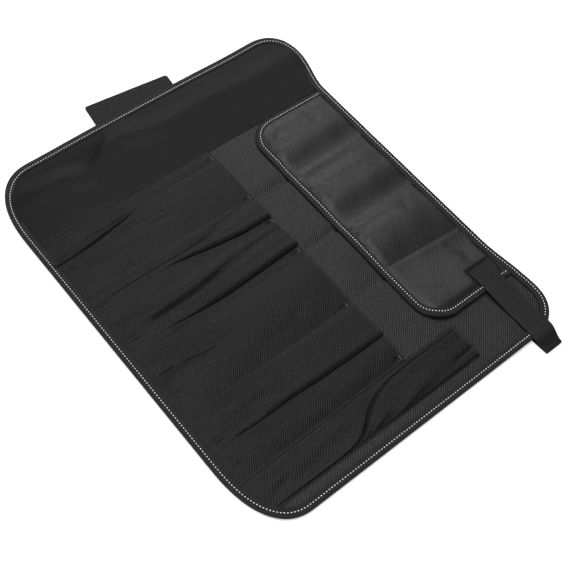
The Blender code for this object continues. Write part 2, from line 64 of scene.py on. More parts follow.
camera_data = bpy.data.cameras.new("camera")
camera_data.lens = CAMERA_LENS
camera_data.sensor_width = SENSOR
camera = bpy.data.objects.new("camera", camera_data)
bpy.context.scene.collection.objects.link(camera)
back = CAMERA_RIGHT.cross(CAMERA_UP).normalized()
up = back.cross(CAMERA_RIGHT).normalized()
turn = Matrix((CAMERA_RIGHT.normalized(), up, back)).transposed()
camera.matrix_world = Matrix.Translation(CAMERA_PLACE) @ turn.to_4x4()
bpy.context.scene.camera = camera
print("camera looks along", [round(v, 3) for v in -back])

# %% [markdown]
# ## Sizes of the roll
# The pieces have to meet, so they share one set of sizes with the CAD solids, in metres: the
# panel, the tape round it, the pockets, the flap and the strap.

# %% Shared sizes
PANEL_WIDTH = 548 * MM
PANEL_DEPTH = 438 * MM
PANEL_TOP = 3.0 * MM
CORNER_SQUARENESS = 2.4
TAPE_WIDTH = 11.5 * MM
LINING_WALL = 1.9 * MM
CLOTH_WALL = 0.6 * MM
FACING_WALL = 0.7 * MM
FACING_WIDTH = 114 * MM
BANK_HEIGHT = 241 * MM
LONG_WIDTH = 48.5 * MM
LONG_HEIGHT = 312.5 * MM
LONG_MARGIN = 10.5 * MM
FLAP_DROP = 133 * MM
FLAP_CORNER = 38 * MM
STRAP_WIDTH = 30.5 * MM
STRAP_LENGTH = 132 * MM
STRAP_OVERHANG = 23 * MM
STRAP_RETURN = 46 * MM
STRAP_FROM_TOP = 34 * MM
TAB_LENGTH = 118 * MM
TAB_REACH = 28 * MM
TAB_TUCK = 20 * MM
TAB_TURN = math.radians(7.3)
TAB_RISE = 5.0 * MM

LEFT = -PANEL_WIDTH / 2
RIGHT = PANEL_WIDTH / 2
BOTTOM = -PANEL_DEPTH / 2
TOP = PANEL_DEPTH / 2
FACING_EDGE = LEFT + FACING_WIDTH
LONG_RIGHT = RIGHT - TAPE_WIDTH - LONG_MARGIN
LONG_LEFT = LONG_RIGHT - LONG_WIDTH
FLAP_LEFT = FACING_EDGE + 2.5 * MM
FLAP_RIGHT = LONG_LEFT - 7.5 * MM
FLAP_FREE = TOP - FLAP_DROP
HEM = BOTTOM + TAPE_WIDTH + BANK_HEIGHT
LONG_HEM = BOTTOM + TAPE_WIDTH + LONG_HEIGHT
STRAP_MIDDLE = TOP - STRAP_FROM_TOP

# How the whole roll is lifted by the tab and the strap under it, and by one curled corner
TAB_LIFT = 1.7 * MM
STRAP_LIFT = 1.8 * MM
LIFT_RAMP = 62 * MM
LIFT_RUN = 95 * MM
CORNER_LIFT = 2.0 * MM


def smooth(share):
    """0 below 0, 1 above 1 and an even S between them."""
    held = np.clip(share, 0.0, 1.0)
    return held * held * (3 - 2 * held)


def lie(x, y):
    """How far the whole roll is lifted at a place."""
    beside_tab = np.abs(y - TAB_RISE) - (TAB_LENGTH / 2 + TAB_REACH * math.sin(TAB_TURN))
    over_tab = smooth((LEFT + TAB_TUCK + LIFT_RAMP - x) / LIFT_RAMP)
    tab = TAB_LIFT * over_tab * (1 - smooth(beside_tab / LIFT_RUN))
    under_strap = RIGHT + STRAP_OVERHANG - STRAP_RETURN
    over_strap = smooth((x - under_strap + LIFT_RAMP) / LIFT_RAMP)
    below_strap = (STRAP_MIDDLE - STRAP_WIDTH / 2 - y) / LIFT_RAMP
    strap = STRAP_LIFT * over_strap * (1 - smooth(below_strap))
    corner = CORNER_LIFT * (1 - smooth(np.hypot(x - LEFT, y - TOP) / LIFT_RUN))
    return tab + strap + corner


# %% [markdown]
# ## The outline
# The panel is a rectangle with soft corners. The tape pulls the two top corners out past the
# straight edge between them. The same outline, moved inwards by a distance, places the tape,
# its stitches and the edges of every cloth that is caught in it.

# %% Outline
CORNERS = (
    # side_x, side_y, run, rise, flare, reach of the flare
    (-1, -1, 0.183, 0.148, 0.0, 0.1),
    (1, -1, 0.183, 0.137, 0.0, 0.1),
    (1, 1, 0.100, 0.114, 0.016, 0.146),
    (-1, 1, 0.093, 0.080, 0.033, 0.131),
)
ARC_POINTS = 60
TOP_POINTS = 120
EDGE_POINTS = 1560


def corner_arc(side_x, side_y, run, rise, flare):
    """Points round one corner, from the upright side to the level one."""
    angle = np.linspace(0, math.pi / 2, ARC_POINTS)
    across = run * PANEL_WIDTH
    x = side_x * (PANEL_WIDTH / 2 - across + across * np.cos(angle) ** (2 / CORNER_SQUARENESS))
    start = side_y * (PANEL_DEPTH / 2 - rise * PANEL_DEPTH)
    reach = (rise + flare) * PANEL_DEPTH
    y = start + side_y * reach * np.sin(angle).clip(0) ** (2 / CORNER_SQUARENESS)
    return np.column_stack([x, y])


def even_line(points, count, closed):
    """The line's points spread again at even distances along it."""
    if closed:
        points = np.vstack([points, points[:1]])
    run = np.concatenate([[0], np.cumsum(np.linalg.norm(np.diff(points, axis=0), axis=1))])
    places = np.linspace(0, run[-1], count + 1)[:-1] if closed else np.linspace(0, run[-1], count)
    return np.column_stack([np.interp(places, run, column) for column in points.T])


def outline():
    """The panel's edge, counter-clockwise from the left end of the bottom side."""
    bottom_left, bottom_right, top_right, top_left = [corner_arc(*row[:-1]) for row in CORNERS]
    share = np.linspace(0, 1, TOP_POINTS)[1:-1]
    x = top_right[-1, 0] + (top_left[-1, 0] - top_right[-1, 0]) * share
    y = np.full_like(x, TOP)
    for arc, row in ((top_right, CORNERS[2]), (top_left, CORNERS[3])):
        *_, flare, flare_reach = row
        gone = np.abs(x - arc[-1, 0]) / (flare_reach * PANEL_WIDTH)
        y += flare * PANEL_DEPTH * (1 - smooth(gone))
    parts = (bottom_left, bottom_right[::-1], top_right, np.column_stack([x, y]), top_left[::-1])
    return even_line(np.concatenate(parts), EDGE_POINTS, True)


def inset_path(points, inset, closed=True):
    """The path moved to its left by inset, which is inwards where it runs counter-clockwise."""
    if closed:
        along = np.roll(points, -2, axis=0) - np.roll(points, 2, axis=0)
    else:
        along = np.gradient(points, axis=0)
    along /= np.linalg.norm(along, axis=1)[:, None]
    return points + inset * np.column_stack([-along[:, 1], along[:, 0]])


EDGE = outline()
EDGE_LENGTH = float(np.linalg.norm(np.roll(EDGE, -1, axis=0) - EDGE, axis=1).sum())


def side_y(x, side, inset):
    """The y of the outline moved inwards by inset, at x, on the bottom (-1) or the top (1) side."""
    line = inset_path(EDGE, inset)
    chosen = line[side * line[:, 1] > 0]
    order = np.lexsort((-np.sign(chosen[:, 0]) * side * chosen[:, 1], chosen[:, 0]))
    return np.interp(x, chosen[order, 0], chosen[order, 1])


print(f"edge {EDGE_LENGTH:.3f} m round")

# %% [markdown]
# ## Helpers for cloth
# A sheet of cloth starts as a flat grid, which is the cloth as it was cut. Its UV map keeps each
# point's place on that flat cloth, in metres, so that a woven pattern follows every fold. The
# grid's vertices are then moved to where the cloth lies. Folds are drawn with guides: lines that
# run up the cloth along each seam, crest and valley, with a height. Between two guides the cloth
# is rounded, and it stays sharp at a valley that was pressed in when the roll was tied up.

# %% Select, apply, shade
def select_only(*pieces):
    """Deselects everything and then selects these, with the first one active."""
    bpy.ops.object.select_all(action="DESELECT")
    for piece in pieces:
        piece.select_set(True)
    bpy.context.view_layer.objects.active = pieces[0]


def apply_all(piece):
    """Applies the piece's modifiers in order."""
    select_only(piece)
    for modifier in list(piece.modifiers):
        bpy.ops.object.modifier_apply(modifier=modifier.name)


def shade(piece, degrees=50):
    """Smooth shading, with edges sharper than the angle kept as edges."""
    select_only(piece)
    bpy.ops.object.shade_smooth_by_angle(angle=math.radians(degrees))


def report(piece):
    """Prints the finished piece's triangles, its size and its lowest point."""
    piece.data.calc_loop_triangles()
    size = [round(v / MM, 1) for v in piece.dimensions]
    low = min(vertex.co.z for vertex in piece.data.vertices) / MM
    print(f"{piece.name}: {len(piece.data.loop_triangles)} triangles, {size} mm, lowest {low:.2f} mm")


# %% A grid of cloth moved into place
def cloth_grid(name, points, flat):
    """A grid whose vertices go to points, rows by columns, and whose UVs are flat, in metres."""
    rows, columns = points.shape[:2]
    bpy.ops.object.select_all(action="DESELECT")
    bpy.ops.mesh.primitive_grid_add(x_subdivisions=columns - 1, y_subdivisions=rows - 1, size=2)
    piece = bpy.context.object
    piece.name = name
    mesh = piece.data
    mesh.name = name
    start = np.empty(len(mesh.vertices) * 3, np.float32)
    mesh.vertices.foreach_get("co", start)
    start = start.reshape(-1, 3)
    column = np.rint((start[:, 0] + 1) / 2 * (columns - 1)).astype(int)
    row = np.rint((start[:, 1] + 1) / 2 * (rows - 1)).astype(int)
    mesh.vertices.foreach_set("co", points[row, column].astype(np.float32).ravel())
    corner = np.empty(len(mesh.loops), np.int32)
    mesh.loops.foreach_get("vertex_index", corner)
    place = flat[row, column][corner]
    mesh.uv_layers.active.data.foreach_set("uv", place.astype(np.float32).ravel())
    mesh.update()
    return piece


def flat_places(points):
    """Each point's place on the flat cloth: its distance along its row, and along its column."""
    across = np.linalg.norm(np.diff(points, axis=1), axis=2)
    along = np.linalg.norm(np.diff(points, axis=0), axis=2)
    u = np.concatenate([np.zeros((len(points), 1)), np.cumsum(across, axis=1)], axis=1)
    v = np.concatenate([np.zeros((1, points.shape[1])), np.cumsum(along, axis=0)])
    middle = points.shape[1] // 2
    return np.stack([u - u[:, middle:middle + 1], v], axis=-1)


def thicken(piece, wall, offset=-1.0):
    """Gives the cloth its thickness, below the drawn face unless offset says otherwise."""
    solid = piece.modifiers.new("wall", "SOLIDIFY")
    solid.thickness = wall
    solid.offset = offset
    solid.use_rim = True
    apply_all(piece)
    shade(piece)
    report(piece)


# %% Guides
SOFTEN = (-10.0, -5.0, 0.0, 5.0, 10.0)
# How steeply the cloth leaves a sharp guide, as a multiple of the straight slope to the next one
SHARP_SLOPE = 1.5
LEAST_WIDTH = 0.01


def guide_value(table, column, y):
    """One column of a guide's table at y, in millimetres, with its corners rounded off."""
    rows = np.array(sorted(table))
    return np.mean([np.interp(y + step, rows[:, 0], rows[:, column]) for step in SOFTEN], axis=0)


def heights(guides, x, y):
    """The cloth's height at x and y, all in millimetres, through the guides from left to right."""
    x, y = np.broadcast_arrays(np.asarray(x, float), np.asarray(y, float))
    places = [guide_value(table, 1, y) for _, _, table in guides]
    left = [guide_value(table, 2, y) for _, _, table in guides]
    right = [guide_value(table, 3, y) if len(table[0]) > 3 else low
             for (_, _, table), low in zip(guides, left)]
    height = np.where(x <= places[0], left[0], right[-1])
    for number in range(len(guides) - 1):
        width = np.maximum(places[number + 1] - places[number], LEAST_WIDTH)
        share = (x - places[number]) / width
        start, end = right[number], left[number + 1]
        kinds = [guides[n][1] for n in (number, number + 1)]
        slopes = [(end - start) * (0.0 if kind == "round" else SHARP_SLOPE) for kind in kinds]
        t2, t3 = share ** 2, share ** 3
        value = start * (2 * t3 - 3 * t2 + 1) + slopes[0] * (t3 - 2 * t2 + share)
        value = value + end * (3 * t2 - 2 * t3) + slopes[1] * (t3 - t2)
        height = np.where((share >= 0) & (share < 1), value, height)
    return height


def crease(x, y, line, width, depth):
    """A soft groove along a line of points, or a ridge where depth is negative, fading at both ends."""
    total = np.zeros_like(x, dtype=float)
    points = np.array(line, float)
    run = np.concatenate([[0], np.cumsum(np.linalg.norm(np.diff(points, axis=0), axis=1))])
    for number, (start, end) in enumerate(zip(points[:-1], points[1:])):
        step = end - start
        length = np.linalg.norm(step)
        share = np.clip(((x - start[0]) * step[0] + (y - start[1]) * step[1]) / length**2, 0, 1)
        off = np.hypot(x - start[0] - share * step[0], y - start[1] - share * step[1])
        place = (run[number] + share * length) / run[-1]
        fade = np.sin(math.pi * np.clip(place, 0, 1)) ** 0.5
        total = np.maximum(total, fade * np.exp(-((off / width) ** 2)))
    return -depth * total


RIPPLES = {
    # height, size across in millimetres, seed
    "lining": (0.12, 34, 1.3),
    "facing": (0.10, 46, 2.1),
    "pockets": (0.14, 30, 0.7),
    "long pocket": (0.12, 24, 3.3),
    "flap": (0.22, 38, 4.2),
    "tab": (0.10, 13, 5.1),
}
# How many waves, how far each turns from the last, how much longer it is and how it is shifted
RIPPLE_WAVES = 5
RIPPLE_TURN = 2.4
RIPPLE_GROWTH = 0.37
RIPPLE_SHIFT = 1.7


def ripple(name, x, y):
    """The faint unevenness of pressed cloth, in millimetres: a few waves of their own directions."""
    height, size, seed = RIPPLES[name]
    total = 0.0
    for number in range(RIPPLE_WAVES):
        angle = RIPPLE_TURN * number + seed
        pace = 2 * math.pi / (size * (1 + RIPPLE_GROWTH * number))
        along = x * math.cos(angle) + y * math.sin(angle)
        total = total + np.sin(pace * along + RIPPLE_SHIFT * seed * number)
    return height * (total / RIPPLE_WAVES)


# %% [markdown]
# ## The lining panel
# The lining and the outer cloth are quilted into one panel, 3 mm thick. It shows above the
# pockets, round the strap and beside the long pocket. The roll has been tied up for a long time,
# so three sharp folds run across it, and they press on through whatever lies over them.

# %% Lining panel
FOLD_LINES = (
    # x, how far before it the cloth starts to fall, how deep, how high it swells, in millimetres
    (-68.5, 18.0, 2.0, 0.5), (24.5, 18.0, 1.9, 0.5), (110.0, 50.0, 1.9, 1.0),
)
FOLD_RISE = 4
# The swell only shows between the pockets' mouths and the flap: it starts, is full, and ends at
SWELL_Y = (32, 46, 78, 92)
PANEL_COLUMNS = 300
PANEL_ROWS = 110
LINING_GUIDES = [("left", "round", [(-250, -275, 0.0), (250, -275, 0.0)])]
for fold, before, deep, swell in FOLD_LINES:
    crest = fold - before
    LINING_GUIDES += [
        ("before", "round", [(y, crest, high) for y, high in zip(SWELL_Y, (0.0, swell, swell, 0.0))]),
        ("fold", "sharp", [(-250, fold, -deep), (250, fold, -deep)]),
        ("after", "round", [(-250, fold + FOLD_RISE, 0.0), (250, fold + FOLD_RISE, 0.0)]),
    ]
LINING_GUIDES.append(("right", "round", [(-250, 275, 0.0), (250, 275, 0.0)]))


# Each bartack's middle at the pockets' mouths, and how far off it the cloth dimples, in millimetres
TACK_PLACES = ((-147.0, 29.6), (-73.6, 30.0), (-30.4, 31.2), (20.6, 29.6), (111.2, 26.4), (198.8, 29.6))
TACK_DIMPLE = (-0.6, -5.0)
# The dimples' radius and depth in the thick panel and in the thin pocket cloth
PANEL_DIMPLE = (4.5, 1.1)
POCKET_DIMPLE = (2.6, 1.2)


def dimples(x, y, radius, depth):
    """The dimples that the bartacks pull into the cloth, at x and y in millimetres."""
    total = 0.0
    for middle_x, middle_y in TACK_PLACES:
        away = np.hypot(x - middle_x - TACK_DIMPLE[0], y - middle_y - TACK_DIMPLE[1])
        total = total - depth * np.exp(-((away / radius) ** 2))
    return total


def panel_height(x, y):
    """The lining's height at x and y in metres."""
    shape = heights(LINING_GUIDES, x / MM, y / MM) + ripple("lining", x / MM, y / MM)
    return PANEL_TOP + (shape + dimples(x / MM, y / MM, *PANEL_DIMPLE)) * MM + lie(x, y)


# The columns crowd towards the two sides, where the tape holds the cloth
held = 2.3 * MM
PANEL_CROWDING = 0.022
share = np.linspace(0, 1, PANEL_COLUMNS)
even = share - PANEL_CROWDING * np.sin(2 * math.pi * share)
across = LEFT + held + (PANEL_WIDTH - 2 * held) * even
low = side_y(across, -1, held)
high = side_y(across, 1, held)
x, rise = np.meshgrid(across, np.linspace(0, 1, PANEL_ROWS))
y = low + (high - low) * rise
points = np.stack([x, y, panel_height(x, y)], axis=-1)
lining_panel = cloth_grid("lining_panel", points, np.stack([x, y], axis=-1))
thicken(lining_panel, LINING_WALL)

# Inside the tape the outer cloth sags away below the lining, down to the floor
in_hem = TAPE_WIDTH + 1.0 * MM
SAG = 1.05 * MM
SAG_RUN = 8 * MM
LEAST_GAP = 0.05 * MM
for vertex in lining_panel.data.vertices[PANEL_COLUMNS * PANEL_ROWS:]:
    room = min(
        float(RIGHT - abs(vertex.co.x)),
        float(vertex.co.y - np.interp(vertex.co.x, across, low)) + held,
        float(np.interp(vertex.co.x, across, high) - vertex.co.y) + held,
    )
    sunk = vertex.co.z - SAG * float(smooth((room - in_hem) / SAG_RUN))
    vertex.co.z = max(sunk, float(lie(vertex.co.x, vertex.co.y)) + LEAST_GAP)

# %% [markdown]
# ## The tape round the edge
# A 22 mm tape is folded over the raw edge and sewn through, so its section is a long narrow C.
# The sheet for it is a grid, as long as the edge and as wide as the section is round, whose two
# ends meet. Each stitch pulls it down a little, which makes the small even dents beside the thread.

# %% Edge tape
STITCH_INSET = 5.7 * MM
STITCH_PITCH = 3.7 * MM
STITCH_COUNT = round(EDGE_LENGTH / STITCH_PITCH)
TAPE_SECTION = (
    # inset, height, in millimetres: the top from its inner edge, the nose, the underside, and back
    (11.5, 4.55), (11.3, 4.84), (9.8, 4.94), (8.2, 4.96), (6.9, 4.74), (5.7, 4.40), (4.5, 4.70), (3.2, 4.84),
    (1.9, 4.56), (0.9, 4.05), (0.25, 3.25), (0.0, 2.3), (0.25, 1.3), (0.9, 0.5), (2.0, 0.05), (5.7, 0.0),
    (11.3, 0.0), (11.5, 0.7), (5.7, 0.72), (2.4, 0.80), (1.4, 1.3), (0.95, 2.3), (1.3, 3.2), (2.2, 3.80),
    (4.5, 3.98), (5.7, 3.78), (6.9, 4.02), (11.3, 4.12),
)
# How wide a stitch's dent is, and how high a point has to lie to be dented, in millimetres
DENT_WIDTH = 1.7
TAPE_UPPER = 3
# How near two points of a rolled-up grid have to be to become one, and the degrees that stay sharp
TAPE_MERGE = 0.00002
STRAP_MERGE = 0.00001
TAPE_SHARP = 60


def close_up(piece, merge, fill):
    """Merges the ends of a rolled-up grid, fills its open rims if asked, and turns its faces outward."""
    select_only(piece)
    bpy.ops.object.mode_set(mode="EDIT")
    bpy.ops.mesh.select_all(action="SELECT")
    bpy.ops.mesh.remove_doubles(threshold=merge)
    bpy.ops.mesh.select_all(action="DESELECT")
    bpy.ops.mesh.select_non_manifold()
    if fill:
        bpy.ops.mesh.fill_holes(sides=0)
    bpy.ops.mesh.select_all(action="SELECT")
    bpy.ops.mesh.normals_make_consistent(inside=False)
    bpy.ops.object.mode_set(mode="OBJECT")
    shade(piece, TAPE_SHARP)
    report(piece)


def tape_loop(name, path_at, length, stations, section, base, dent, pitch, closed):
    """A tape folded round a line. path_at gives the line moved inwards by an inset."""
    rows = []
    flat = []
    run = np.linspace(0, length, stations + 1)
    steps = [math.dist(a, b) for a, b in zip(section[:-1], section[1:])]
    girth = np.concatenate([[0], np.cumsum(steps)])
    ring = list(section) + [section[0]]
    around = np.append(girth, girth[-1] + math.dist(section[-1], section[0]))
    for (inset, height), place in zip(ring, around):
        line = path_at(inset * MM)
        if closed:
            line = np.vstack([line, line[:1]])
        beside = (inset - STITCH_INSET / MM) / DENT_WIDTH
        pulled = dent * math.exp(-(beside ** 2)) if height > TAPE_UPPER else 0.0
        wave = 0.5 + 0.5 * np.cos(2 * math.pi * run / pitch)
        level = height * MM - pulled * wave * MM
        rows.append(np.column_stack([line, level + base(line[:, 0], line[:, 1])]))
        flat.append(np.column_stack([run, np.full(len(run), place * MM)]))
    points = np.stack(rows, axis=1)
    piece = cloth_grid(name, points[:, ::-1], np.stack(flat, axis=1)[:, ::-1])
    close_up(piece, TAPE_MERGE, not closed)
    return piece


# How much the flap's cloth lifts the tape, how far beside it that eases, and how far down it goes
CAUGHT_LIFT = 0.9 * MM
CAUGHT_RUN = 6 * MM
CAUGHT_DEPTH = 22 * MM


def over_flap(x, y):
    """The tape's lift where the flap's cloth is caught under it."""
    from_left = smooth((x - FLAP_LEFT + CAUGHT_RUN) / CAUGHT_RUN)
    from_right = smooth((FLAP_RIGHT + CAUGHT_RUN - x) / CAUGHT_RUN)
    return CAUGHT_LIFT * (from_left * from_right) * smooth((y - TOP + CAUGHT_DEPTH) / CAUGHT_RUN)


def edge_base(x, y):
    """How far the edge tape is lifted at a place."""
    return lie(x, y) + over_flap(x, y)


# How far the stitch line strays inwards on each side of the roll, and where a side begins
STRAY_LEFT = 1.9 * MM
STRAY_RIGHT = 0.3 * MM
STRAY_BOTTOM = -0.3 * MM
STRAY_TOP = -0.7 * MM
SIDE_FROM, SIDE_RUN = 0.8, 0.2


def edge_line(inset):
    """The outline moved inwards by inset. The stitched middle of the tape strays as it was sewn."""
    line = inset_path(EDGE, inset)
    across = EDGE[:, 0] / RIGHT
    up = EDGE[:, 1] / TOP
    sides = ((STRAY_RIGHT, across), (STRAY_LEFT, -across), (STRAY_TOP, up), (STRAY_BOTTOM, -up))
    stray = sum(far * smooth((towards - SIDE_FROM) / SIDE_RUN) for far, towards in sides)
    middle = math.sin(math.pi * min(max(inset / TAPE_WIDTH, 0.0), 1.0))
    # One step of a metre inwards at each point, which the stray then scales down
    inwards = inset_path(EDGE, 1.0) - EDGE
    return line + inwards * (stray * middle)[:, None]


EDGE_DENT = 0.45
edge_tape = tape_loop(
    "edge_tape", edge_line, EDGE_LENGTH, EDGE_POINTS, TAPE_SECTION,
    edge_base, EDGE_DENT, EDGE_LENGTH / STITCH_COUNT, True,
)

# %% [markdown]
# ## Cloth through guides
# The facing, the pockets and the flap are each one cloth whose columns run from guide to guide, so
# that a column lies on every seam and fold. Where a fold lies over its neighbour, extra columns go
# round it: over the edge, back under it and out again, as the pleat of a real pocket does.

# %% A cloth whose columns follow its guides
# In millimetres: how high one layer of cloth lies over another, how far a fold's edge rolls, and
# how deep a tuck has to be before it lies quite flat
LAYER = 0.85
ROLL = 1.6
FULL_TUCK = 2.0
LEAST_TUCK = 0.12
GUIDE_LEVELS = 9


def folded_rows(guides, folds, share_rows, low_at, high_at, spacing):
    """Rows of points, in millimetres, of a cloth that follows its guides and goes round its folds."""
    low_y, high_y = float(low_at(0.0)), float(high_at(0.0))
    levels = np.linspace(low_y, high_y, GUIDE_LEVELS)
    places = [guide_value(table, 1, levels) for _, _, table in guides]
    widest = [(after - before).max() for before, after in zip(places, places[1:])]
    counts = [max(3, math.ceil(width / spacing)) for width in widest]
    rows = []
    for share in share_rows:
        y = low_y + (high_y - low_y) * share
        parts = []
        for name, _, table in guides:
            x_here = float(guide_value(table, 1, y))
            if name in folds:
                side, fold_table = folds[name]
                tuck = float(guide_value(fold_table, 1, y))
                parts.append(fold_points(x_here, table, y, side, tuck))
            else:
                parts.append([(x_here, np.nan)])
        line = list(parts[0])
        for count, before, after in zip(counts, parts, parts[1:]):
            along = np.linspace(before[-1][0], after[0][0], count + 1)[1:-1]
            line += [(value, np.nan) for value in along] + list(after)
        line = np.array(line)
        plain = np.isnan(line[:, 1])
        line[plain, 1] = heights(guides, line[plain, 0], y)
        low, high = low_at(line[:, 0]), high_at(line[:, 0])
        rows.append(np.column_stack([line[:, 0], low + (high - low) * share, line[:, 1]]))
    return np.array(rows)


# The fold's rolled edge, and the turn at the end of its tuck: out and up, as shares of their radius
FOLD_OVER = (
    (-3.4, 0.5), (-2.1, 0.32), (-1.2, 0.0), (-0.5, -0.42), (-0.08, -1.0), (-0.35, -1.6), (-1.0, -1.95),
)
FOLD_BACK = ((1.0, 1.0), (0.3, 0.8), (0.0, 0.5), (0.3, 0.2), (1.0, 0.0))


def fold_points(x, table, y, side, tuck):
    """Points round one fold, from left to right. Side -1 lies over its right neighbour, 1 its left."""
    left = float(guide_value(table, 2, y))
    right = float(guide_value(table, 3, y))
    high, low = (left, right) if side < 0 else (right, left)
    open_share = min(1.0, tuck / FULL_TUCK)
    layer = LAYER * open_share
    tuck = max(tuck, LEAST_TUCK)
    high = max(high, low + 2 * layer)
    # The radius of the rolled edge and of the turn behind it: both fit their layers and the tuck
    turn = min(ROLL, (high - low - layer) / 2 + 0.02, tuck / 2.4)
    bend = min(0.45 * layer + 0.03, tuck / 2.5)
    over = [(out * turn, high + up * turn) for out, up in FOLD_OVER]
    back = [
        (-0.55 * tuck - 0.2 * turn, 0.3 * (high - 2 * turn) + 0.7 * (low + layer)),
        *[(-tuck + out * bend, low + up * layer) for out, up in FOLD_BACK],
        (-0.5 * tuck, low), (0.0, low), (bend * 2.2, low),
    ]
    points = [(x - side * across, height) for across, height in over + back]
    return points if side < 0 else points[::-1]


def in_place(rows, base):
    """Points in metres from rows in millimetres, at their height above the panel."""
    points = rows * MM
    points[..., 2] += base + lie(points[..., 0], points[..., 1])
    return points


SIDE_SAMPLES = 900


def inside_side(side, inset):
    """The y, inset inside the bottom (-1) or the top (1) side, in millimetres at x in millimetres."""
    grid = np.linspace(LEFT, RIGHT, SIDE_SAMPLES)
    line = side_y(grid, side, inset)
    return lambda x: np.interp(np.asarray(x) * MM, grid, line) / MM


def level_line(y):
    """A straight line across the roll at y, in millimetres."""
    return lambda x: np.full_like(np.asarray(x, float), y)


# How far each cloth reaches in under the tape, and where that puts its two ends
CAUGHT = 4.0 * MM
HELD_LOW = inside_side(-1, TAPE_WIDTH - CAUGHT)
HELD_HIGH = inside_side(1, TAPE_WIDTH - CAUGHT)

# The groove that the hem's stitches press, in millimetres
HEM_INSET = 2.6
HEM_GROOVE = 0.25
HEM_GROOVE_WIDTH = 0.9


def hem_groove(y, hem):
    """How deep the cloth is pressed below a hem in metres, at y in millimetres."""
    return HEM_GROOVE * np.exp(-(((y - hem / MM + HEM_INSET) / HEM_GROOVE_WIDTH) ** 2))


# %% [markdown]
# ## The wrap facing
# The blank end, which wraps round the outside when the roll is closed, has a smooth coated cloth
# of its own. It was folded with the rest, so a long soft ridge wanders down it.

# %% Facing layer
FACING_RIDGE = (
    # y, x of the ridge, its height
    (225, -221, 2.2), (150, -223, 3.2), (105, -227, 3.5), (60, -227, 3.5), (15, -225, 3.6),
    (-15, -228, 3.5), (-32, -232, 3.3), (-50, -238, 3.2), (-62, -241, 3.3), (-76, -236, 3.4),
    (-90, -225, 3.6), (-105, -215, 3.7), (-117, -213, 3.6), (-132, -221, 3.5), (-160, -228, 3.3),
    (-185, -229, 2.6), (-215, -230, 1.6),
)
# Beside the ridge: how far its foot and its slope's end are, and their share of its height
FOOT_AWAY, FOOT_SHARE = 25.0, 0.12
SLOPE_AWAY, SLOPE_SHARE = 15.0, 0.76
FACING_CREASES = (
    # line of x and y, half width, depth
    ([(-258, -50), (-244, -62), (-226, -88), (-212, -112)], 6, -0.5),
    ([(-262, -96), (-240, -124), (-226, -150)], 7, 0.25),
    ([(-262, 20), (-246, 8), (-232, -16)], 6, 0.25),
)
# Its rows, its columns' spacing in millimetres, and the row that its width is measured on
FACING_ROWS, FACING_SPACING, FACING_WIDTH_ROW = 200, 1.3, 100
FACING_BASE = 3.95 * MM
# The cloth lies calm beside its hem
FACING_CALM_X, FACING_CALM_RUN = -162, 10
FACING_GUIDES = (
    ("edge", "round", [(-250, -268, 0.0), (250, -268, 0.0)]),
    ("foot", "round", [(y, x - FOOT_AWAY, FOOT_SHARE * high) for y, x, high in FACING_RIDGE]),
    ("ridge", "round", list(FACING_RIDGE)),
    ("slope", "sharp", [(y, x + SLOPE_AWAY, SLOPE_SHARE * high) for y, x, high in FACING_RIDGE]),
    ("hem", "sharp", [(-250, -161.5, 0.0), (250, -161.5, 0.0)]),
    ("end", "sharp", [(-250, -159.2, 0.0), (250, -159.2, 0.0)]),
)
rows = folded_rows(
    FACING_GUIDES, {}, np.linspace(0, 1, FACING_ROWS), HELD_LOW, HELD_HIGH, FACING_SPACING
)
x_mm, y_mm = rows[..., 0], rows[..., 1]
rows[..., 2] += ripple("facing", x_mm, y_mm) * np.clip((FACING_CALM_X - x_mm) / FACING_CALM_RUN, 0, 1)
for line, width, depth in FACING_CREASES:
    rows[..., 2] += crease(x_mm, y_mm, line, width, depth)
points = in_place(rows, FACING_BASE)
facing_layer = cloth_grid("facing_layer", points, flat_places(points))
thicken(facing_layer, FACING_WALL)

# %% [markdown]
# ## The row of pockets
# One cloth is sewn down along six seams. It is wider than the panel below it, so that the pockets
# can take thick handles, and the spare width lies in pleats that were pressed flat: four of them
# lie over their right neighbour, so that a dark gap shows beside the edge. The guides below run up
# every seam, valley, crest and pleat. Each row gives a height up the roll, a place across it and
# a height above the lining, and for a pleat the height on its right side too.

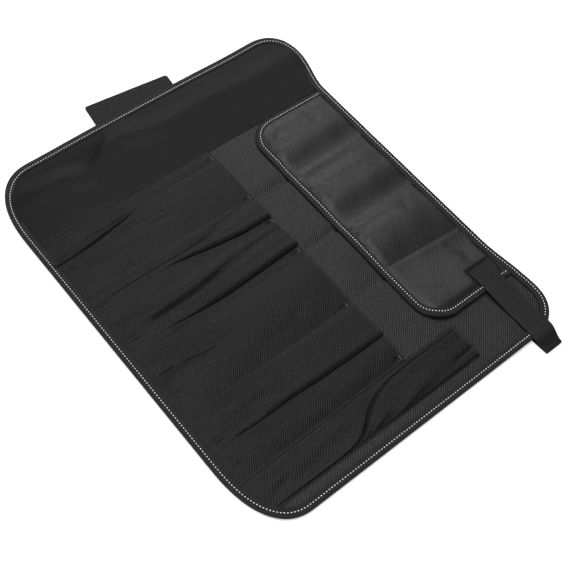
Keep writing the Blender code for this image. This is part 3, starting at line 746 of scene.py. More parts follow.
# %% Pocket guides
BANK_GUIDES = (
    ("start", "round", [(36, -159.2, 0.1), (-210, -159.2, 0.1)]),
    ("strip", "round", [(36, -150, 0.7), (-100, -150, 0.5), (-210, -151, 0.1)]),
    ("seam_0", "sharp", [(36, -142.6, 0.0), (-210, -142.6, 0.0)]),
    ("pinch", "round", [
        (36, -134, 1.2, 1.2), (-60, -135, 1.4, 1.4), (-95, -138, 1.6, 1.4), (-115, -135, 2.6, 0.9),
        (-140, -131, 3.4, 0.6), (-165, -128.5, 3.2, 0.5), (-190, -127, 1.8, 0.4), (-212, -126.5, 0.5, 0.2),
    ]),
    ("crest_1", "round", [
        (36, -112, 1.6), (0, -112, 2.4), (-60, -113, 3.0), (-110, -104, 3.1), (-150, -99, 2.9),
        (-185, -102, 1.8), (-197, -108, 0.4), (-212, -110, 0.1),
    ]),
    ("seam_1", "sharp", [(36, -72.8, 0.0), (-210, -75.4, 0.0)]),
    ("strip_1", "round", [(36, -71.9, 0.1), (-10, -71.0, 0.4), (-50, -67.5, 1.0), (-210, -67.5, 0.6)]),
    ("valley_2", "sharp", [
        (36, -71.0, 0.2), (20, -70.4, 0.1), (-22, -66.8, 0.1), (-52, -60.8, 0.1), (-82, -59.0, 0.2),
        (-130, -60.4, 0.3), (-212, -60.6, 0.1),
    ]),
    ("crest_2", "round", [
        (36, -50, 3.0), (-20, -50, 3.4), (-60, -54, 3.2), (-85, -55.4, 3.0), (-110, -56.6, 2.4),
        (-170, -56.8, 2.2), (-190, -54, 1.2), (-200, -50, 0.3), (-212, -50, 0.1),
    ]),
    ("pleat_2", "round", [
        (38, -36.5, 4.2, 0.5), (-10, -37.3, 4.4, 0.5), (-52, -43.6, 4.3, 0.5), (-82, -48.8, 3.6, 0.8),
        (-100, -51.6, 2.6, 1.4), (-112, -52.2, 2.0, 1.9), (-170, -50.6, 1.8, 1.8), (-200, -44, 0.3, 0.3),
        (-212, -44, 0.1, 0.1),
    ]),
    ("seam_2", "sharp", [(36, -28.6, 0.0), (-210, -31.8, 0.0)]),
    ("strip_3", "round", [
        (36, -23, 0.8), (-40, -22, 1.2), (-80, -16.5, 2.2), (-140, -13.0, 2.4), (-180, -14, 1.2),
        (-212, -16, 0.1),
    ]),
    ("valley_3", "sharp", [
        (36, -18.2, 0.1), (0, -17.8, 0.1), (-42, -15.4, 0.1), (-77, -10.6, 0.1), (-102, -7.4, 0.1),
        (-152, -6.2, 0.2), (-200, -8, 0.2), (-212, -8.6, 0.1),
    ]),
    ("crest_3", "round", [
        (36, -1, 3.2), (-60, -2, 3.6), (-100, 0.5, 3.8), (-150, 0.5, 3.2), (-182, 1, 1.6), (-196, 3, 0.3),
        (-212, 3, 0.1),
    ]),
    ("pleat_3", "round", [
        (38, 13.6, 4.8, 0.4), (-22, 16.6, 4.9, 0.4), (-72, 18.8, 4.8, 0.4), (-102, 18.0, 4.2, 0.5),
        (-124, 16.4, 3.2, 0.8), (-148, 14.4, 1.9, 1.6), (-180, 13, 0.9, 0.9), (-198, 13, 0.2, 0.2),
        (-212, 13, 0.1, 0.1),
    ]),
    ("seam_3", "sharp", [(36, 22.4, 0.1), (-210, 24.0, 0.0)]),
    ("valley_4", "sharp", [
        (36, 28.2, 0.0), (-60, 29.0, 0.0), (-140, 29.4, 0.0), (-190, 27.2, 0.1), (-212, 25.8, 0.1),
    ]),
    ("crest_4", "round", [
        (36, 60, 2.2), (10, 62, 3.6), (-60, 65, 4.5), (-120, 66, 4.2), (-160, 69, 3.4), (-182, 72, 2.2),
        (-196, 78, 0.4), (-212, 78, 0.1),
    ]),
    ("seam_4", "sharp", [(36, 112.6, -0.1), (-210, 114.8, -0.1)]),
    ("rise_5", "round", [
        (36, 126, 1.5), (-60, 126, 1.9), (-120, 133, 2.2), (-170, 134, 1.6),
        (-198, 134, 0.2), (-212, 134, 0.1),
    ]),
    ("dip_5", "round", [
        (36, 147, 2.2), (-40, 148, 2.4), (-80, 150.4, 1.9), (-112, 148.4, 1.0), (-135, 143.2, 0.8),
        (-158, 146.0, 0.6), (-200, 147.8, 0.1), (-212, 147.8, 0.1),
    ]),
    ("crest_5", "round", [
        (36, 157, 3.0), (-100, 156.6, 3.3), (-150, 155.4, 2.6), (-182, 155, 1.6), (-197, 156, 0.3),
        (-212, 156, 0.1),
    ]),
    ("pleat_5", "round", [
        (38, 165.2, 3.7, 0.4), (0, 166.0, 3.9, 0.4), (-62, 165.0, 3.9, 0.4), (-102, 163.2, 3.7, 0.4),
        (-142, 164.0, 3.1, 0.6), (-166, 163.2, 2.0, 1.3), (-184, 163, 1.0, 1.0), (-198, 163, 0.2, 0.2),
        (-212, 163, 0.1, 0.1),
    ]),
    ("crest_6", "round", [
        (36, 181, 1.6), (-60, 180, 2.0), (-150, 182, 2.0), (-185, 182, 1.2),
        (-200, 182, 0.2), (-212, 182, 0.1),
    ]),
    ("seam_5", "sharp", [(36, 201.6, 0.0), (-210, 206.4, 0.0)]),
    ("end", "sharp", [(36, 203.9, 0.0), (-210, 208.9, 0.0)]),
)
BANK_FOLDS = {
    # name: side, [(y, tuck)]
    "pinch": (-1, [(36, 0.0), (-96, 0.0), (-112, 2.6), (-140, 4.5), (-212, 4.0)]),
    "pleat_2": (-1, [(36, 6.0), (-60, 5.5), (-84, 4.0), (-104, 0.8), (-112, 0.0), (-212, 0.0)]),
    "pleat_3": (-1, [(36, 7.0), (-90, 6.5), (-124, 4.0), (-150, 0.8), (-160, 0.0), (-212, 0.0)]),
    "pleat_5": (-1, [(36, 7.0), (-130, 6.0), (-160, 3.5), (-174, 0.8), (-182, 0.0), (-212, 0.0)]),
}
BANK_CREASES = (
    # line of x and y, half width, depth
    ([(-119, -66), (-122, -84), (-126, -104), (-126, -126), (-129, -146)], 3.2, 1.5),
    ([(-106, -52), (-109, -70), (-111, -94), (-115, -130)], 2.8, 1.0),
    ([(47, -92), (48.5, -130), (51, -160), (56, -184)], 3.0, 1.1),
    ([(67, -116), (65, -144), (60, -164), (57.6, -184), (57.4, -214)], 2.6, 1.6),
    ([(-140, 30), (-120, 12), (-112, -20)], 7.0, 0.3),
    ([(120, -30), (136, -60), (140, -96)], 6.0, 0.3),
    ([(78, -10), (92, -40), (96, -96)], 8.0, 0.35),
    ([(176, -20), (186, -70), (184, -120)], 6.0, 0.35),
    ([(-92, -60), (-88, -100), (-92, -150)], 6.0, 0.3),
    ([(-146, -150), (-144, -172)], 2.5, 0.8),
    ([(-118, -193), (-106, -194)], 9.0, -0.9),
    ([(-56, -195), (-53, -195)], 8.0, -0.7),
    ([(-4, -193), (4, -193)], 9.0, -0.9),
    ([(36, -194), (48, -194)], 9.0, -0.8),
    ([(64, -193), (84, -194)], 9.5, -1.0),
    ([(150, -194), (156, -194)], 8.5, -0.8),
    ([(176, -195), (188, -195)], 8.0, -0.6),
)

# %% Pocket cloth
BANK_BASE = 3.7 * MM
BANK_ROWS, BANK_SPACING, BANK_WIDTH_ROW = 108, 1.25, 90
# Creases show a little even where the cloth lies close to the lining
CREASE_LEVEL = 0.3
rows = folded_rows(
    BANK_GUIDES, BANK_FOLDS, np.linspace(0, 1, BANK_ROWS), HELD_LOW, level_line(HEM / MM), BANK_SPACING
)
x_mm, y_mm = rows[..., 0], rows[..., 1]
for line, width, depth in BANK_CREASES:
    rows[..., 2] += crease(x_mm, y_mm, line, width, depth) * np.clip(rows[..., 2] + CREASE_LEVEL, 0, 1)
rows[..., 2] += ripple("pockets", x_mm, y_mm) * np.clip(rows[..., 2], 0, 1)
rows[..., 2] -= hem_groove(y_mm, HEM)
rows[..., 2] += dimples(x_mm, y_mm, *POCKET_DIMPLE)
points = in_place(rows, BANK_BASE)
pocket_cloth = cloth_grid("pocket_cloth", points, flat_places(points))
thicken(pocket_cloth, CLOTH_WALL, 0.0)

# %% [markdown]
# ## The long pocket
# The tall pocket is gathered at its mouth and stands open in a long soft bulge. Half way down the
# bulge swings across to the right seam, and a second one starts at the left seam below it.

# %% Long pocket cloth
LONG_GUIDES = (
    ("start", "sharp", [(110, 203.5, 0.0), (36, 204.6, 0.0), (-50, 206.2, 0.0), (-210, 209.3, 0.0)]),
    ("seam", "sharp", [(110, 205.2, 0.0), (36, 206.3, 0.0), (-50, 207.9, 0.0), (-210, 211.0, 0.0)]),
    ("valley_low", "sharp", [
        (110, 206.0, 0.2), (36, 206.8, 0.1), (-35, 209.4, 0.3), (-70, 212.4, 0.3), (-102, 213.4, 0.3),
        (-152, 216.0, 0.3), (-190, 215.0, 0.3), (-210, 213.0, 0.1),
    ]),
    ("ridge_low", "round", [
        (110, 206.6, 0.3), (36, 207.1, 0.2), (-25, 210.8, 0.4), (-42, 213.6, 1.2), (-54, 215.6, 1.6),
        (-68, 218.6, 2.1), (-112, 222.0, 2.3), (-152, 225.4, 2.3), (-176, 227.0, 2.0), (-190, 227, 1.1),
        (-202, 227, 0.4), (-212, 227, 0.1),
    ]),
    ("fall_low", "round", [
        (110, 207.2, 0.3), (36, 207.4, 0.2), (-25, 212.0, 0.5), (-42, 217.5, 1.0), (-54, 223.0, 1.8),
        (-68, 228.4, 1.9), (-112, 233.0, 1.9), (-152, 236.0, 1.9), (-176, 236.5, 1.6), (-190, 236, 1.0),
        (-202, 236, 0.3), (-212, 236, 0.1),
    ]),
    ("rise_low", "round", [
        (110, 207.8, 0.3), (36, 207.7, 0.2), (-22, 213.6, 0.5), (-42, 221.0, 1.0), (-54, 229.5, 1.6),
        (-68, 238.5, 2.4), (-90, 247.8, 2.5), (-112, 248.8, 2.7), (-152, 248.8, 2.5), (-176, 248.6, 1.6),
        (-190, 248, 0.9), (-202, 247, 0.4), (-212, 247, 0.1),
    ]),
    ("valley_high", "sharp", [
        (112, 209.0, 0.5), (60, 208.4, 0.3), (28, 208.2, 0.2), (-2, 210.0, 0.2), (-22, 214.6, 0.2),
        (-42, 223.4, 0.3), (-62, 237.0, 0.4), (-78, 248.6, 0.5), (-110, 249.4, 0.4), (-210, 249.4, 0.1),
    ]),
    ("ridge_high", "round", [
        (112, 213.4, 2.3), (60, 213.0, 2.8), (20, 213.2, 3.2), (-12, 217.8, 3.6), (-32, 226.0, 3.4),
        (-57, 239.4, 2.8), (-76, 249.2, 0.9), (-100, 249.9, 0.3), (-210, 249.9, 0.0),
    ]),
    ("dip_high", "round", [
        (112, 221.0, 2.2), (60, 221.0, 2.7), (20, 222.0, 3.2), (-6, 228.0, 3.5), (-26, 236.0, 3.4),
        (-50, 244.6, 3.0), (-76, 249.7, 0.6), (-210, 250.2, 0.0),
    ]),
    ("crest_high", "round", [
        (112, 232.0, 2.7), (60, 233.0, 3.3), (30, 238.0, 4.0), (2, 245.0, 4.1), (-24, 248.4, 3.0),
        (-50, 249.4, 1.6), (-76, 250.2, 0.3), (-210, 250.4, 0.0),
    ]),
    ("rim_right", "round", [
        (112, 248.8, 2.6), (60, 249.2, 2.9), (20, 249.6, 3.0), (-10, 249.8, 2.4), (-40, 250.2, 1.0),
        (-210, 250.5, 0.0),
    ]),
    ("seam_right", "sharp", [(112, 250.8, 0.0), (-210, 250.8, 0.0)]),
    ("end", "sharp", [(112, 252.0, 0.0), (-210, 252.0, 0.0)]),
)
LONG_CREASES = (
    ([(238.4, 118), (239.6, 96), (241, 72)], 2.4, 1.0),
    ([(246, -88), (240, -120), (240, -170)], 5.0, 0.4),
    ([(228, -150), (236, -176), (246, -196)], 5.0, 0.5),
)
LONG_ROWS, LONG_SPACING, LONG_WIDTH_ROW = 190, 0.75, 140
rows = folded_rows(
    LONG_GUIDES, {}, np.linspace(0, 1, LONG_ROWS), HELD_LOW, level_line(LONG_HEM / MM), LONG_SPACING
)
x_mm, y_mm = rows[..., 0], rows[..., 1]
for line, width, depth in LONG_CREASES:
    rows[..., 2] += crease(x_mm, y_mm, line, width, depth) * np.clip(rows[..., 2], 0, 1)
rows[..., 2] += ripple("long pocket", x_mm, y_mm) * np.clip(rows[..., 2], 0, 1)
rows[..., 2] -= hem_groove(y_mm, LONG_HEM)
points = in_place(rows, BANK_BASE)
long_pocket_cloth = cloth_grid("long_pocket_cloth", points, flat_places(points))
thicken(long_pocket_cloth, CLOTH_WALL, 0.0)

# %% [markdown]
# ## The flap
# The flap is a satin cloth sewn into the top edge, bound on its other three sides. It lies over the
# lining in waves: the pressed fold lines pull it down, and it swells between them.

# %% Flap shape
FLAP_GUIDES = (
    ("left", "round", [(80, -157, 0.4), (215, -157, 0.2)]),
    ("swell_1", "round", [(80, -134, 2.6), (215, -132, 2.6)]),
    ("shoulder_1", "round", [(80, -104, 3.3), (215, -106, 3.2)]),
    ("fold_1", "round", [(80, -70, 0.0), (215, -71, 0.0)]),
    ("lip_1", "round", [(80, -62, 0.9), (150, -62, 1.0), (215, -63, 0.8)]),
    ("dent_1", "round", [(80, -54, 0.3), (150, -54, 0.8), (170, -54, 1.0), (215, -55, 1.0)]),
    ("swell_2", "round", [(80, -36, 2.6), (215, -36, 2.6)]),
    ("shoulder_2", "round", [(80, -15, 3.2), (215, -13, 3.2)]),
    ("fold_2", "round", [(80, 24, 0.0), (215, 23, 0.0)]),
    ("swell_3", "round", [(80, 40, 2.4), (215, 41, 2.2)]),
    ("shoulder_3", "round", [(80, 54, 3.8), (150, 56, 3.8), (215, 60, 3.4)]),
    ("fold_3", "sharp", [
        (80, 102.0, 0.0), (102, 102.6, 0.0), (142, 106, 0.0), (172, 108, 0.0), (215, 111, 0.0),
    ]),
    ("lip_3", "round", [
        (80, 105.6, 0.4), (102, 106.2, 0.4), (142, 109.6, 0.4), (172, 111.6, 0.4), (215, 114.6, 0.3),
    ]),
    ("dip_3", "round", [(80, 114, 0.2), (142, 117, 0.2), (215, 122, 0.2)]),
    ("shoulder_4", "round", [(80, 176, 3.6), (215, 180, 3.2)]),
    ("right", "round", [(80, 195, 1.6), (215, 195, 1.2)]),
)
FLAP_CREASES = (
    ([(-134, 126), (-122, 112), (-108, 98)], 4.0, 0.45),
    ([(-118, 118), (-104, 100)], 3.6, 0.4),
    ([(176, 158), (156, 132), (138, 108), (130, 98)], 6.0, 0.5),
    ([(46, 116), (53, 104), (58, 92)], 4.4, 0.5),
    ([(-46, 96), (-40, 112), (-34, 136)], 6.0, 0.35),
    ([(-22, 122), (-12, 104), (-8, 94)], 5.0, 0.3),
    ([(-150, 168), (-126, 176), (-104, 170)], 8.0, 0.3),
    ([(118, 176), (136, 188), (158, 184)], 7.0, 0.35),
    ([(30, 190), (44, 176), (60, 172)], 7.0, 0.3),
)
# How high the whole flap stands, in millimetres, and how it eases at its seam, its edge and the strap
FLAP_STAND = 0.9
FLAP_SEAM_RUN = 46 * MM
FLAP_EDGE_RUN = 20 * MM
FLAP_STRAP_RUN = 5 * MM
FLAP_UNDER_STRAP = 0.6
FLAP_WAVE_RUN = 3.5 * MM
FLAP_WAVE_SHARE = 1.38
FLAP_WAVE_AT_SEAM = 0.9
FLAP_WAVE_AT_EDGE = 0.15
FLAP_BASE = 4.7 * MM


def flap_height(x, y):
    """The middle of the flap's cloth above the floor, at x and y in metres."""
    x_mm, y_mm = x / MM, y / MM
    wave = heights(FLAP_GUIDES, x_mm, y_mm)
    for line, width, depth in FLAP_CREASES:
        wave = wave + crease(x_mm, y_mm, line, width, depth)
    wave = wave + ripple("flap", x_mm, y_mm)
    strap_end = RIGHT + STRAP_OVERHANG - STRAP_LENGTH
    under_strap = smooth((x - strap_end + FLAP_STRAP_RUN) / FLAP_STRAP_RUN)
    strap_side = STRAP_MIDDLE - STRAP_WIDTH / 2
    under_strap = under_strap * smooth((y - strap_side + FLAP_STRAP_RUN) / FLAP_STRAP_RUN)
    seam = TOP - TAPE_WIDTH
    ramp = smooth((seam - y) / FLAP_SEAM_RUN)
    waved = smooth((seam - y) / FLAP_WAVE_RUN) * (FLAP_WAVE_AT_SEAM + (1 - FLAP_WAVE_AT_SEAM) * ramp)
    eased = 1 - (1 - FLAP_WAVE_AT_EDGE) * (1 - smooth((y - FLAP_FREE) / FLAP_EDGE_RUN))
    stand = (ramp * FLAP_STAND + wave * waved * FLAP_WAVE_SHARE) * eased
    pressed = 1 - (1 - FLAP_UNDER_STRAP) * under_strap
    return FLAP_BASE + stand * pressed * MM + lie(x, y)


FLAP_POINTS = 520
FLAP_CORNER_POINTS = 24
FLAP_TAPE_CAUGHT = 3.5 * MM


def flap_outline(inset):
    """The flap's free edge moved inwards: down its left side, along the bottom and up its right."""
    radius = FLAP_CORNER - inset
    left, right = FLAP_LEFT + inset, FLAP_RIGHT - inset
    angle = np.linspace(0, math.pi / 2, FLAP_CORNER_POINTS)
    centre = FLAP_FREE + FLAP_CORNER
    left_top = float(side_y(left, 1, TAPE_WIDTH - FLAP_TAPE_CAUGHT))
    right_top = float(side_y(right, 1, TAPE_WIDTH - FLAP_TAPE_CAUGHT))
    start = np.column_stack([left + radius * (1 - np.cos(angle)), centre - radius * np.sin(angle)])
    end = np.column_stack([right - radius * (1 - np.cos(angle)), centre - radius * np.sin(angle)])[::-1]
    line = np.vstack([[(left, left_top)], start, end, [(right, right_top)]])
    return even_line(line, FLAP_POINTS, False)


FLAP_EDGE = flap_outline(0.0)
FLAP_EDGE_LENGTH = float(np.linalg.norm(np.diff(FLAP_EDGE, axis=0), axis=1).sum())

# %% Flap cloth
FLAP_COLUMNS, FLAP_ROWS, FLAP_CROWDING = 250, 110, 0.03
FLAP_CLOTH_CAUGHT = 5 * MM
inset = 2.4 * MM
start, end = FLAP_LEFT + inset, FLAP_RIGHT - inset
share = np.linspace(0, 1, FLAP_COLUMNS)
across = start + (end - start) * (share - FLAP_CROWDING * np.sin(2 * math.pi * share))
radius = FLAP_CORNER - inset
into = np.clip(np.maximum(start + radius - across, across - end + radius) / radius, 0, 1)
free = FLAP_FREE + inset + radius * (1 - np.sqrt(1 - into**2))
seam = side_y(across, 1, TAPE_WIDTH - FLAP_CLOTH_CAUGHT)
x, drop = np.meshgrid(across, np.linspace(0, 1, FLAP_ROWS))
y = free + (seam - free) * drop
points = np.stack([x, y, flap_height(x, y)], axis=-1)
flap_cloth = cloth_grid("flap_cloth", points, np.stack([x, y], axis=-1))
thicken(flap_cloth, CLOTH_WALL, 0.0)

# %% Flap tape
FLAP_TAPE_SECTION = (
    # inset, height above the middle of the cloth, in millimetres
    (9.6, 0.42), (9.4, 0.86), (8.9, 0.98), (8.2, 0.98), (7.2, 0.84), (6.2, 0.60), (5.2, 0.84), (3.8, 1.0),
    (2.2, 0.94), (1.1, 0.72), (0.3, 0.36), (0.0, 0.0), (0.3, -0.36), (1.1, -0.66), (2.2, -0.82),
    (6.2, -0.9), (9.4, -0.9), (9.6, -0.42), (6.2, -0.4), (2.2, -0.34), (1.6, 0.0), (2.2, 0.34),
    (5.0, 0.4), (6.2, 0.36), (7.4, 0.4),
)
FLAP_STITCHES = round(FLAP_EDGE_LENGTH / STITCH_PITCH)
FLAP_DENT = 0.3
flap_tape = tape_loop(
    "flap_tape", flap_outline, FLAP_EDGE_LENGTH, FLAP_POINTS - 1, FLAP_TAPE_SECTION, flap_height,
    FLAP_DENT, FLAP_EDGE_LENGTH / FLAP_STITCHES, False,
)

# %% [markdown]
# ## The webbing strap
# The strap is ribbed webbing. It lies over the flap's end, runs out past the edge, is folded round
# and sewn back under the panel. The ribs are real webbing's weft: cords that run across it, 2.5 mm
# apart, so they are raised in the grid itself.

# %% Strap
STRAP_WALL = 1.3 * MM
CORD_PITCH = 2.5 * MM
CORD_DEPTH = 0.40 * MM
# The height of a cord that leaves the webbing's middle level as it is, as a share of its depth
CORD_LEVEL = 0.6
# The loop at the end: how long it is, and how much its far and its near side draw in
LOOP_RUN = 24 * MM
LOOP_TAPER = 0.30
LOOP_LEAN = 0.06
fold_x = RIGHT + STRAP_OVERHANG
end_x = fold_x - STRAP_LENGTH
on_flap = 8.9 * MM + float(lie(FLAP_RIGHT, STRAP_MIDDLE))
on_edge = 5.7 * MM + float(lie(RIGHT, STRAP_MIDDLE))
half = STRAP_WALL / 2 + 0.1 * MM
# The strap's middle line from its sewn end to its fold and back below: x and height
strap_line = np.array([
    (end_x, on_flap - 0.4 * MM),
    (end_x + 10 * MM, on_flap - 0.1 * MM),
    ((end_x + FLAP_RIGHT) / 2 + 4 * MM, on_flap),
    (FLAP_RIGHT - 2 * MM, on_flap),
    (FLAP_RIGHT + 5 * MM, on_flap - 0.5 * MM),
    (FLAP_RIGHT + 22 * MM, on_edge - 0.5 * MM),
    (RIGHT - 34 * MM, on_edge - 0.9 * MM),
    (RIGHT - 18 * MM, on_edge - 0.2 * MM),
    (RIGHT - 6 * MM, on_edge + 0.1 * MM),
    (RIGHT + 0.5 * MM, on_edge - 0.4 * MM),
    (RIGHT + 6 * MM, on_edge - 2.2 * MM),
    (RIGHT + 14 * MM, 2.9 * MM),
    (fold_x - 3.2 * MM, 2.5 * MM),
    (fold_x - 1.4 * MM, 2.2 * MM),
    (fold_x - 0.7 * MM, 1.5 * MM),
    (fold_x - 1.4 * MM, half + 0.1 * MM),
    (fold_x - 3.2 * MM, half),
    (fold_x - STRAP_RETURN / 2, half),
    (fold_x - STRAP_RETURN, half),
])


CORNER_CUTS = 3
CUT = 0.25


def rounded_line(points, count):
    """A line with its corners cut off a few times and its points spread evenly."""
    for _ in range(CORNER_CUTS):
        first, second = points[:-1], points[1:]
        cut = np.stack([first * (1 - CUT) + second * CUT, first * CUT + second * (1 - CUT)], axis=1)
        points = np.vstack([points[:1], cut.reshape(-1, 2), points[-1:]])
    return even_line(points, count, False)


STRAP_POINTS = 300
STRAP_ACROSS = 25
# How far the webbing's back lies beside its face on the flat cloth, in half widths
BACK_AWAY = 2.1
# The share of the loop's draw from which on it counts as the loop
LOOP_FROM = 0.05
# The webbing thins out at its two sides, and its width wanders a little along it
SIDE_DROP = 0.28 * MM
WANDER, WANDER_RUN = 0.012, 31 * MM
line = rounded_line(strap_line, STRAP_POINTS)
run = np.concatenate([[0], np.cumsum(np.linalg.norm(np.diff(line, axis=0), axis=1))])
# One step of a metre square to the strap's line at each point
step = inset_path(line, -1.0, False) - line
past = smooth((line[:, 0] - fold_x + LOOP_RUN) / LOOP_RUN)
LOOP_START = float(run[np.argmax(past > LOOP_FROM)])
rib = CORD_DEPTH * (np.abs(np.cos(math.pi * run / CORD_PITCH)) - CORD_LEVEL) * (1 - past)
spread = np.linspace(-1, 1, STRAP_ACROSS)
side_drop = SIDE_DROP * np.abs(spread) ** 10
narrow = 1 - WANDER * np.sin(run / WANDER_RUN)
upper = np.zeros((STRAP_ACROSS, STRAP_POINTS, 3))
lower = np.zeros_like(upper)
for number, side in enumerate(spread):
    for grid, sign in ((upper, 1), (lower, -1)):
        move = sign * (STRAP_WALL / 2 + rib * (1 - abs(side) ** 12) - side_drop[number])
        grid[number, :, 0] = line[:, 0] - step[:, 0] * move
        grid[number, :, 2] = line[:, 1] - step[:, 1] * move
        drawn_in = LOOP_TAPER * max(side, 0) + LOOP_LEAN * max(-side, 0)
        grid[number, :, 1] = STRAP_MIDDLE + side * STRAP_WIDTH / 2 * (narrow - past * drawn_in)
ring = np.concatenate([upper, lower[::-1], upper[:1]])
sides = [spread, spread[::-1] + BACK_AWAY, spread[:1] + 2 * BACK_AWAY]
across = np.concatenate(sides) * STRAP_WIDTH / 2
flat = np.stack(np.broadcast_arrays(run[None, :], across[:, None]), axis=-1)
strap_webbing = cloth_grid("strap_webbing", ring, flat)
close_up(strap_webbing, STRAP_MERGE, True)

# %% [markdown]
# ## The closure tab
# The tab is a strip of hook tape, sewn behind the blank end a little askew. It is a grid with
# rounded corners, a thinner welt at its edge and a faint unevenness.

# %% Closure tab
# How high its face lies, and the tape's own thickness, which keeps its unevenness off the floor
TAB_FACE = 1.3 * MM
TAB_WALL = 1.0 * MM
TAB_COLUMNS, TAB_ROWS = 41, 61
TAB_CORNER = 4.0 * MM
TAB_CORNER_PULL = 1.2
# The welt along the tab's edge, a groove and a thinner rim: how far in, how wide and how deep
WELT_INSET, WELT_WIDTH, WELT_DEPTH = 3.6 * MM, 0.8 * MM, 0.14 * MM
RIM_WIDTH, RIM_DROP = 1.2 * MM, 0.25 * MM
depth = TAB_REACH + TAB_TUCK
u, v = np.meshgrid(np.linspace(0, 1, TAB_COLUMNS), np.linspace(-1, 1, TAB_ROWS))
local_x = -depth / 2 + depth * u
from_end = depth * u
pull = np.clip(1 - from_end / TAB_CORNER, 0, 1)
local_y = TAB_LENGTH / 2 * v * (1 - pull**2 * TAB_CORNER / TAB_LENGTH * TAB_CORNER_PULL)
cosine, sine = math.cos(TAB_TURN), math.sin(TAB_TURN)
middle_x = LEFT + TAB_TUCK - depth / 2
x = middle_x + local_x * cosine + local_y * sine
y = TAB_RISE - local_x * sine + local_y * cosine
near = np.minimum(from_end, (1 - np.abs(v)) * TAB_LENGTH / 2)
groove = WELT_DEPTH * np.exp(-(((near - WELT_INSET) / WELT_WIDTH) ** 2))
welt = groove + RIM_DROP * (1 - smooth(near / RIM_WIDTH))
z = TAB_FACE + MM * ripple("tab", x / MM, y / MM) - welt
points = np.stack([x, y, z], axis=-1)
tab_tape = cloth_grid("tab_tape", points, np.stack([local_x, local_y], axis=-1))
thicken(tab_tape, TAB_WALL)

# %% [markdown]
# ## Stitches
# A row of stitches is one stitch repeated at an even pitch along a line. One is modelled: a short
# piece of thread that comes out of the cloth, lies on it and goes in again. An Array modifier
# repeats it and a Curve modifier lays the row along its seam, as one would do by hand.

# %% A path and a row of stitches
def path_curve(name, points, closed):
    """A curve object that follows the points, made from the rim of a circle."""
    count = len(points) + (0 if closed else 1)
    bpy.ops.object.select_all(action="DESELECT")
    bpy.ops.mesh.primitive_circle_add(vertices=count, radius=1)
    path = bpy.context.object
    path.name = name
    for vertex, point in zip(path.data.vertices, points):
        vertex.co = point
    if not closed:
        bpy.ops.object.mode_set(mode="EDIT")
        bpy.ops.mesh.select_mode(type="VERT")
        bpy.ops.mesh.select_all(action="DESELECT")
        bpy.ops.object.mode_set(mode="OBJECT")
        path.data.vertices[count - 1].select = True
        bpy.ops.object.mode_set(mode="EDIT")
        bpy.ops.mesh.delete(type="VERT")
        bpy.ops.object.mode_set(mode="OBJECT")
    select_only(path)
    bpy.ops.object.convert(target="CURVE")
    path.data.dimensions = "3D"
    path.data.twist_mode = "Z_UP"
    return path


# How flat a pulled thread lies, and how far its ends dip into the cloth, as shares of its width
THREAD_FLATNESS = 0.42
THREAD_DIP = 0.45


def stitch_row(name, points, pitch, length, thread, closed=False):
    """A row of stitches of one thread along a line of points in metres."""
    points = np.asarray(points, float)
    line = np.vstack([points, points[:1]]) if closed else points
    total = float(np.linalg.norm(np.diff(line, axis=0), axis=1).sum())
    count = max(2, round(total / pitch))
    even = total / count
    path = path_curve(name + "_path", points, closed)
    bpy.ops.object.select_all(action="DESELECT")
    bpy.ops.mesh.primitive_uv_sphere_add(segments=8, ring_count=5, radius=1, location=(0, 0, 0))
    row = bpy.context.object
    row.name = name
    row.data.name = name
    bpy.ops.object.mode_set(mode="EDIT")
    bpy.ops.mesh.select_all(action="SELECT")
    bpy.ops.transform.resize(value=(length / 2, thread / 2, thread * THREAD_FLATNESS))
    bpy.ops.transform.translate(value=(even / 2, 0, 0))
    bpy.ops.object.mode_set(mode="OBJECT")
    for vertex in row.data.vertices:
        reach = abs(vertex.co.x - even / 2) / (length / 2)
        vertex.co.z -= THREAD_DIP * thread * reach**2
    array = row.modifiers.new("repeat", "ARRAY")
    array.count = count
    array.use_relative_offset = False
    array.use_constant_offset = True
    array.constant_offset_displace = (even, 0, 0)
    follow = row.modifiers.new("follow", "CURVE")
    follow.object = path
    apply_all(row)
    bpy.data.objects.remove(path)
    select_only(row)
    bpy.ops.object.shade_smooth()
    report(row)
    return row


def on_surface(line, height):
    """Points at x and y in metres, at the height that a function gives there."""
    line = np.asarray(line, float)
    return np.column_stack([line, height(line[:, 0], line[:, 1])])


# %% White stitches on the tapes
THREAD = 0.95 * MM
STITCH_LENGTH = 2.0 * MM
# The thread's middle above the floor on the edge tape, and above the cloth's middle on the flap's
ON_EDGE_TAPE = 4.46 * MM
ON_FLAP_TAPE = 0.72 * MM
FLAP_STITCH_INSET = 6.2 * MM
ENDS_OFF = 4
edge_stitches = stitch_row(
    "edge_stitches",
    on_surface(edge_line(STITCH_INSET), lambda x, y: edge_base(x, y) + ON_EDGE_TAPE),
    STITCH_PITCH, STITCH_LENGTH, THREAD, closed=True,
)
flap_line = flap_outline(FLAP_STITCH_INSET)[ENDS_OFF:-ENDS_OFF]
flap_stitches = stitch_row(
    "flap_stitches",
    on_surface(flap_line, lambda x, y: flap_height(x, y) + ON_FLAP_TAPE),
    STITCH_PITCH, STITCH_LENGTH, THREAD,
)

# %% [markdown]
# ## Dark seams
# The facing, the pockets and the tab are sewn down with black thread. The seams drawn here are the
# facing's, the pockets', the long pocket's and the lining's. Each seam runs where its cloth lies, so
# its height is found by a ray from above on the finished cloth, and a seam that crosses a pleat is
# broken where the pleat's edge steps up.

# %% Seam lines on finished cloth
SEAM_THREAD = 0.62 * MM
SEAM_STITCH = 2.3 * MM
SEAM_PITCH = 3.1 * MM
SEAM_STEP = 1.0 * MM
SEAM_STANDS = 0.12 * MM
ABOVE_ALL = 100 * MM


def height_on(piece, x, y):
    """The height of the piece's upper face at x and y in metres, or None beside it."""
    found, place, _, _ = piece.ray_cast((x, y, ABOVE_ALL), (0, 0, -1))
    return place.z if found else None


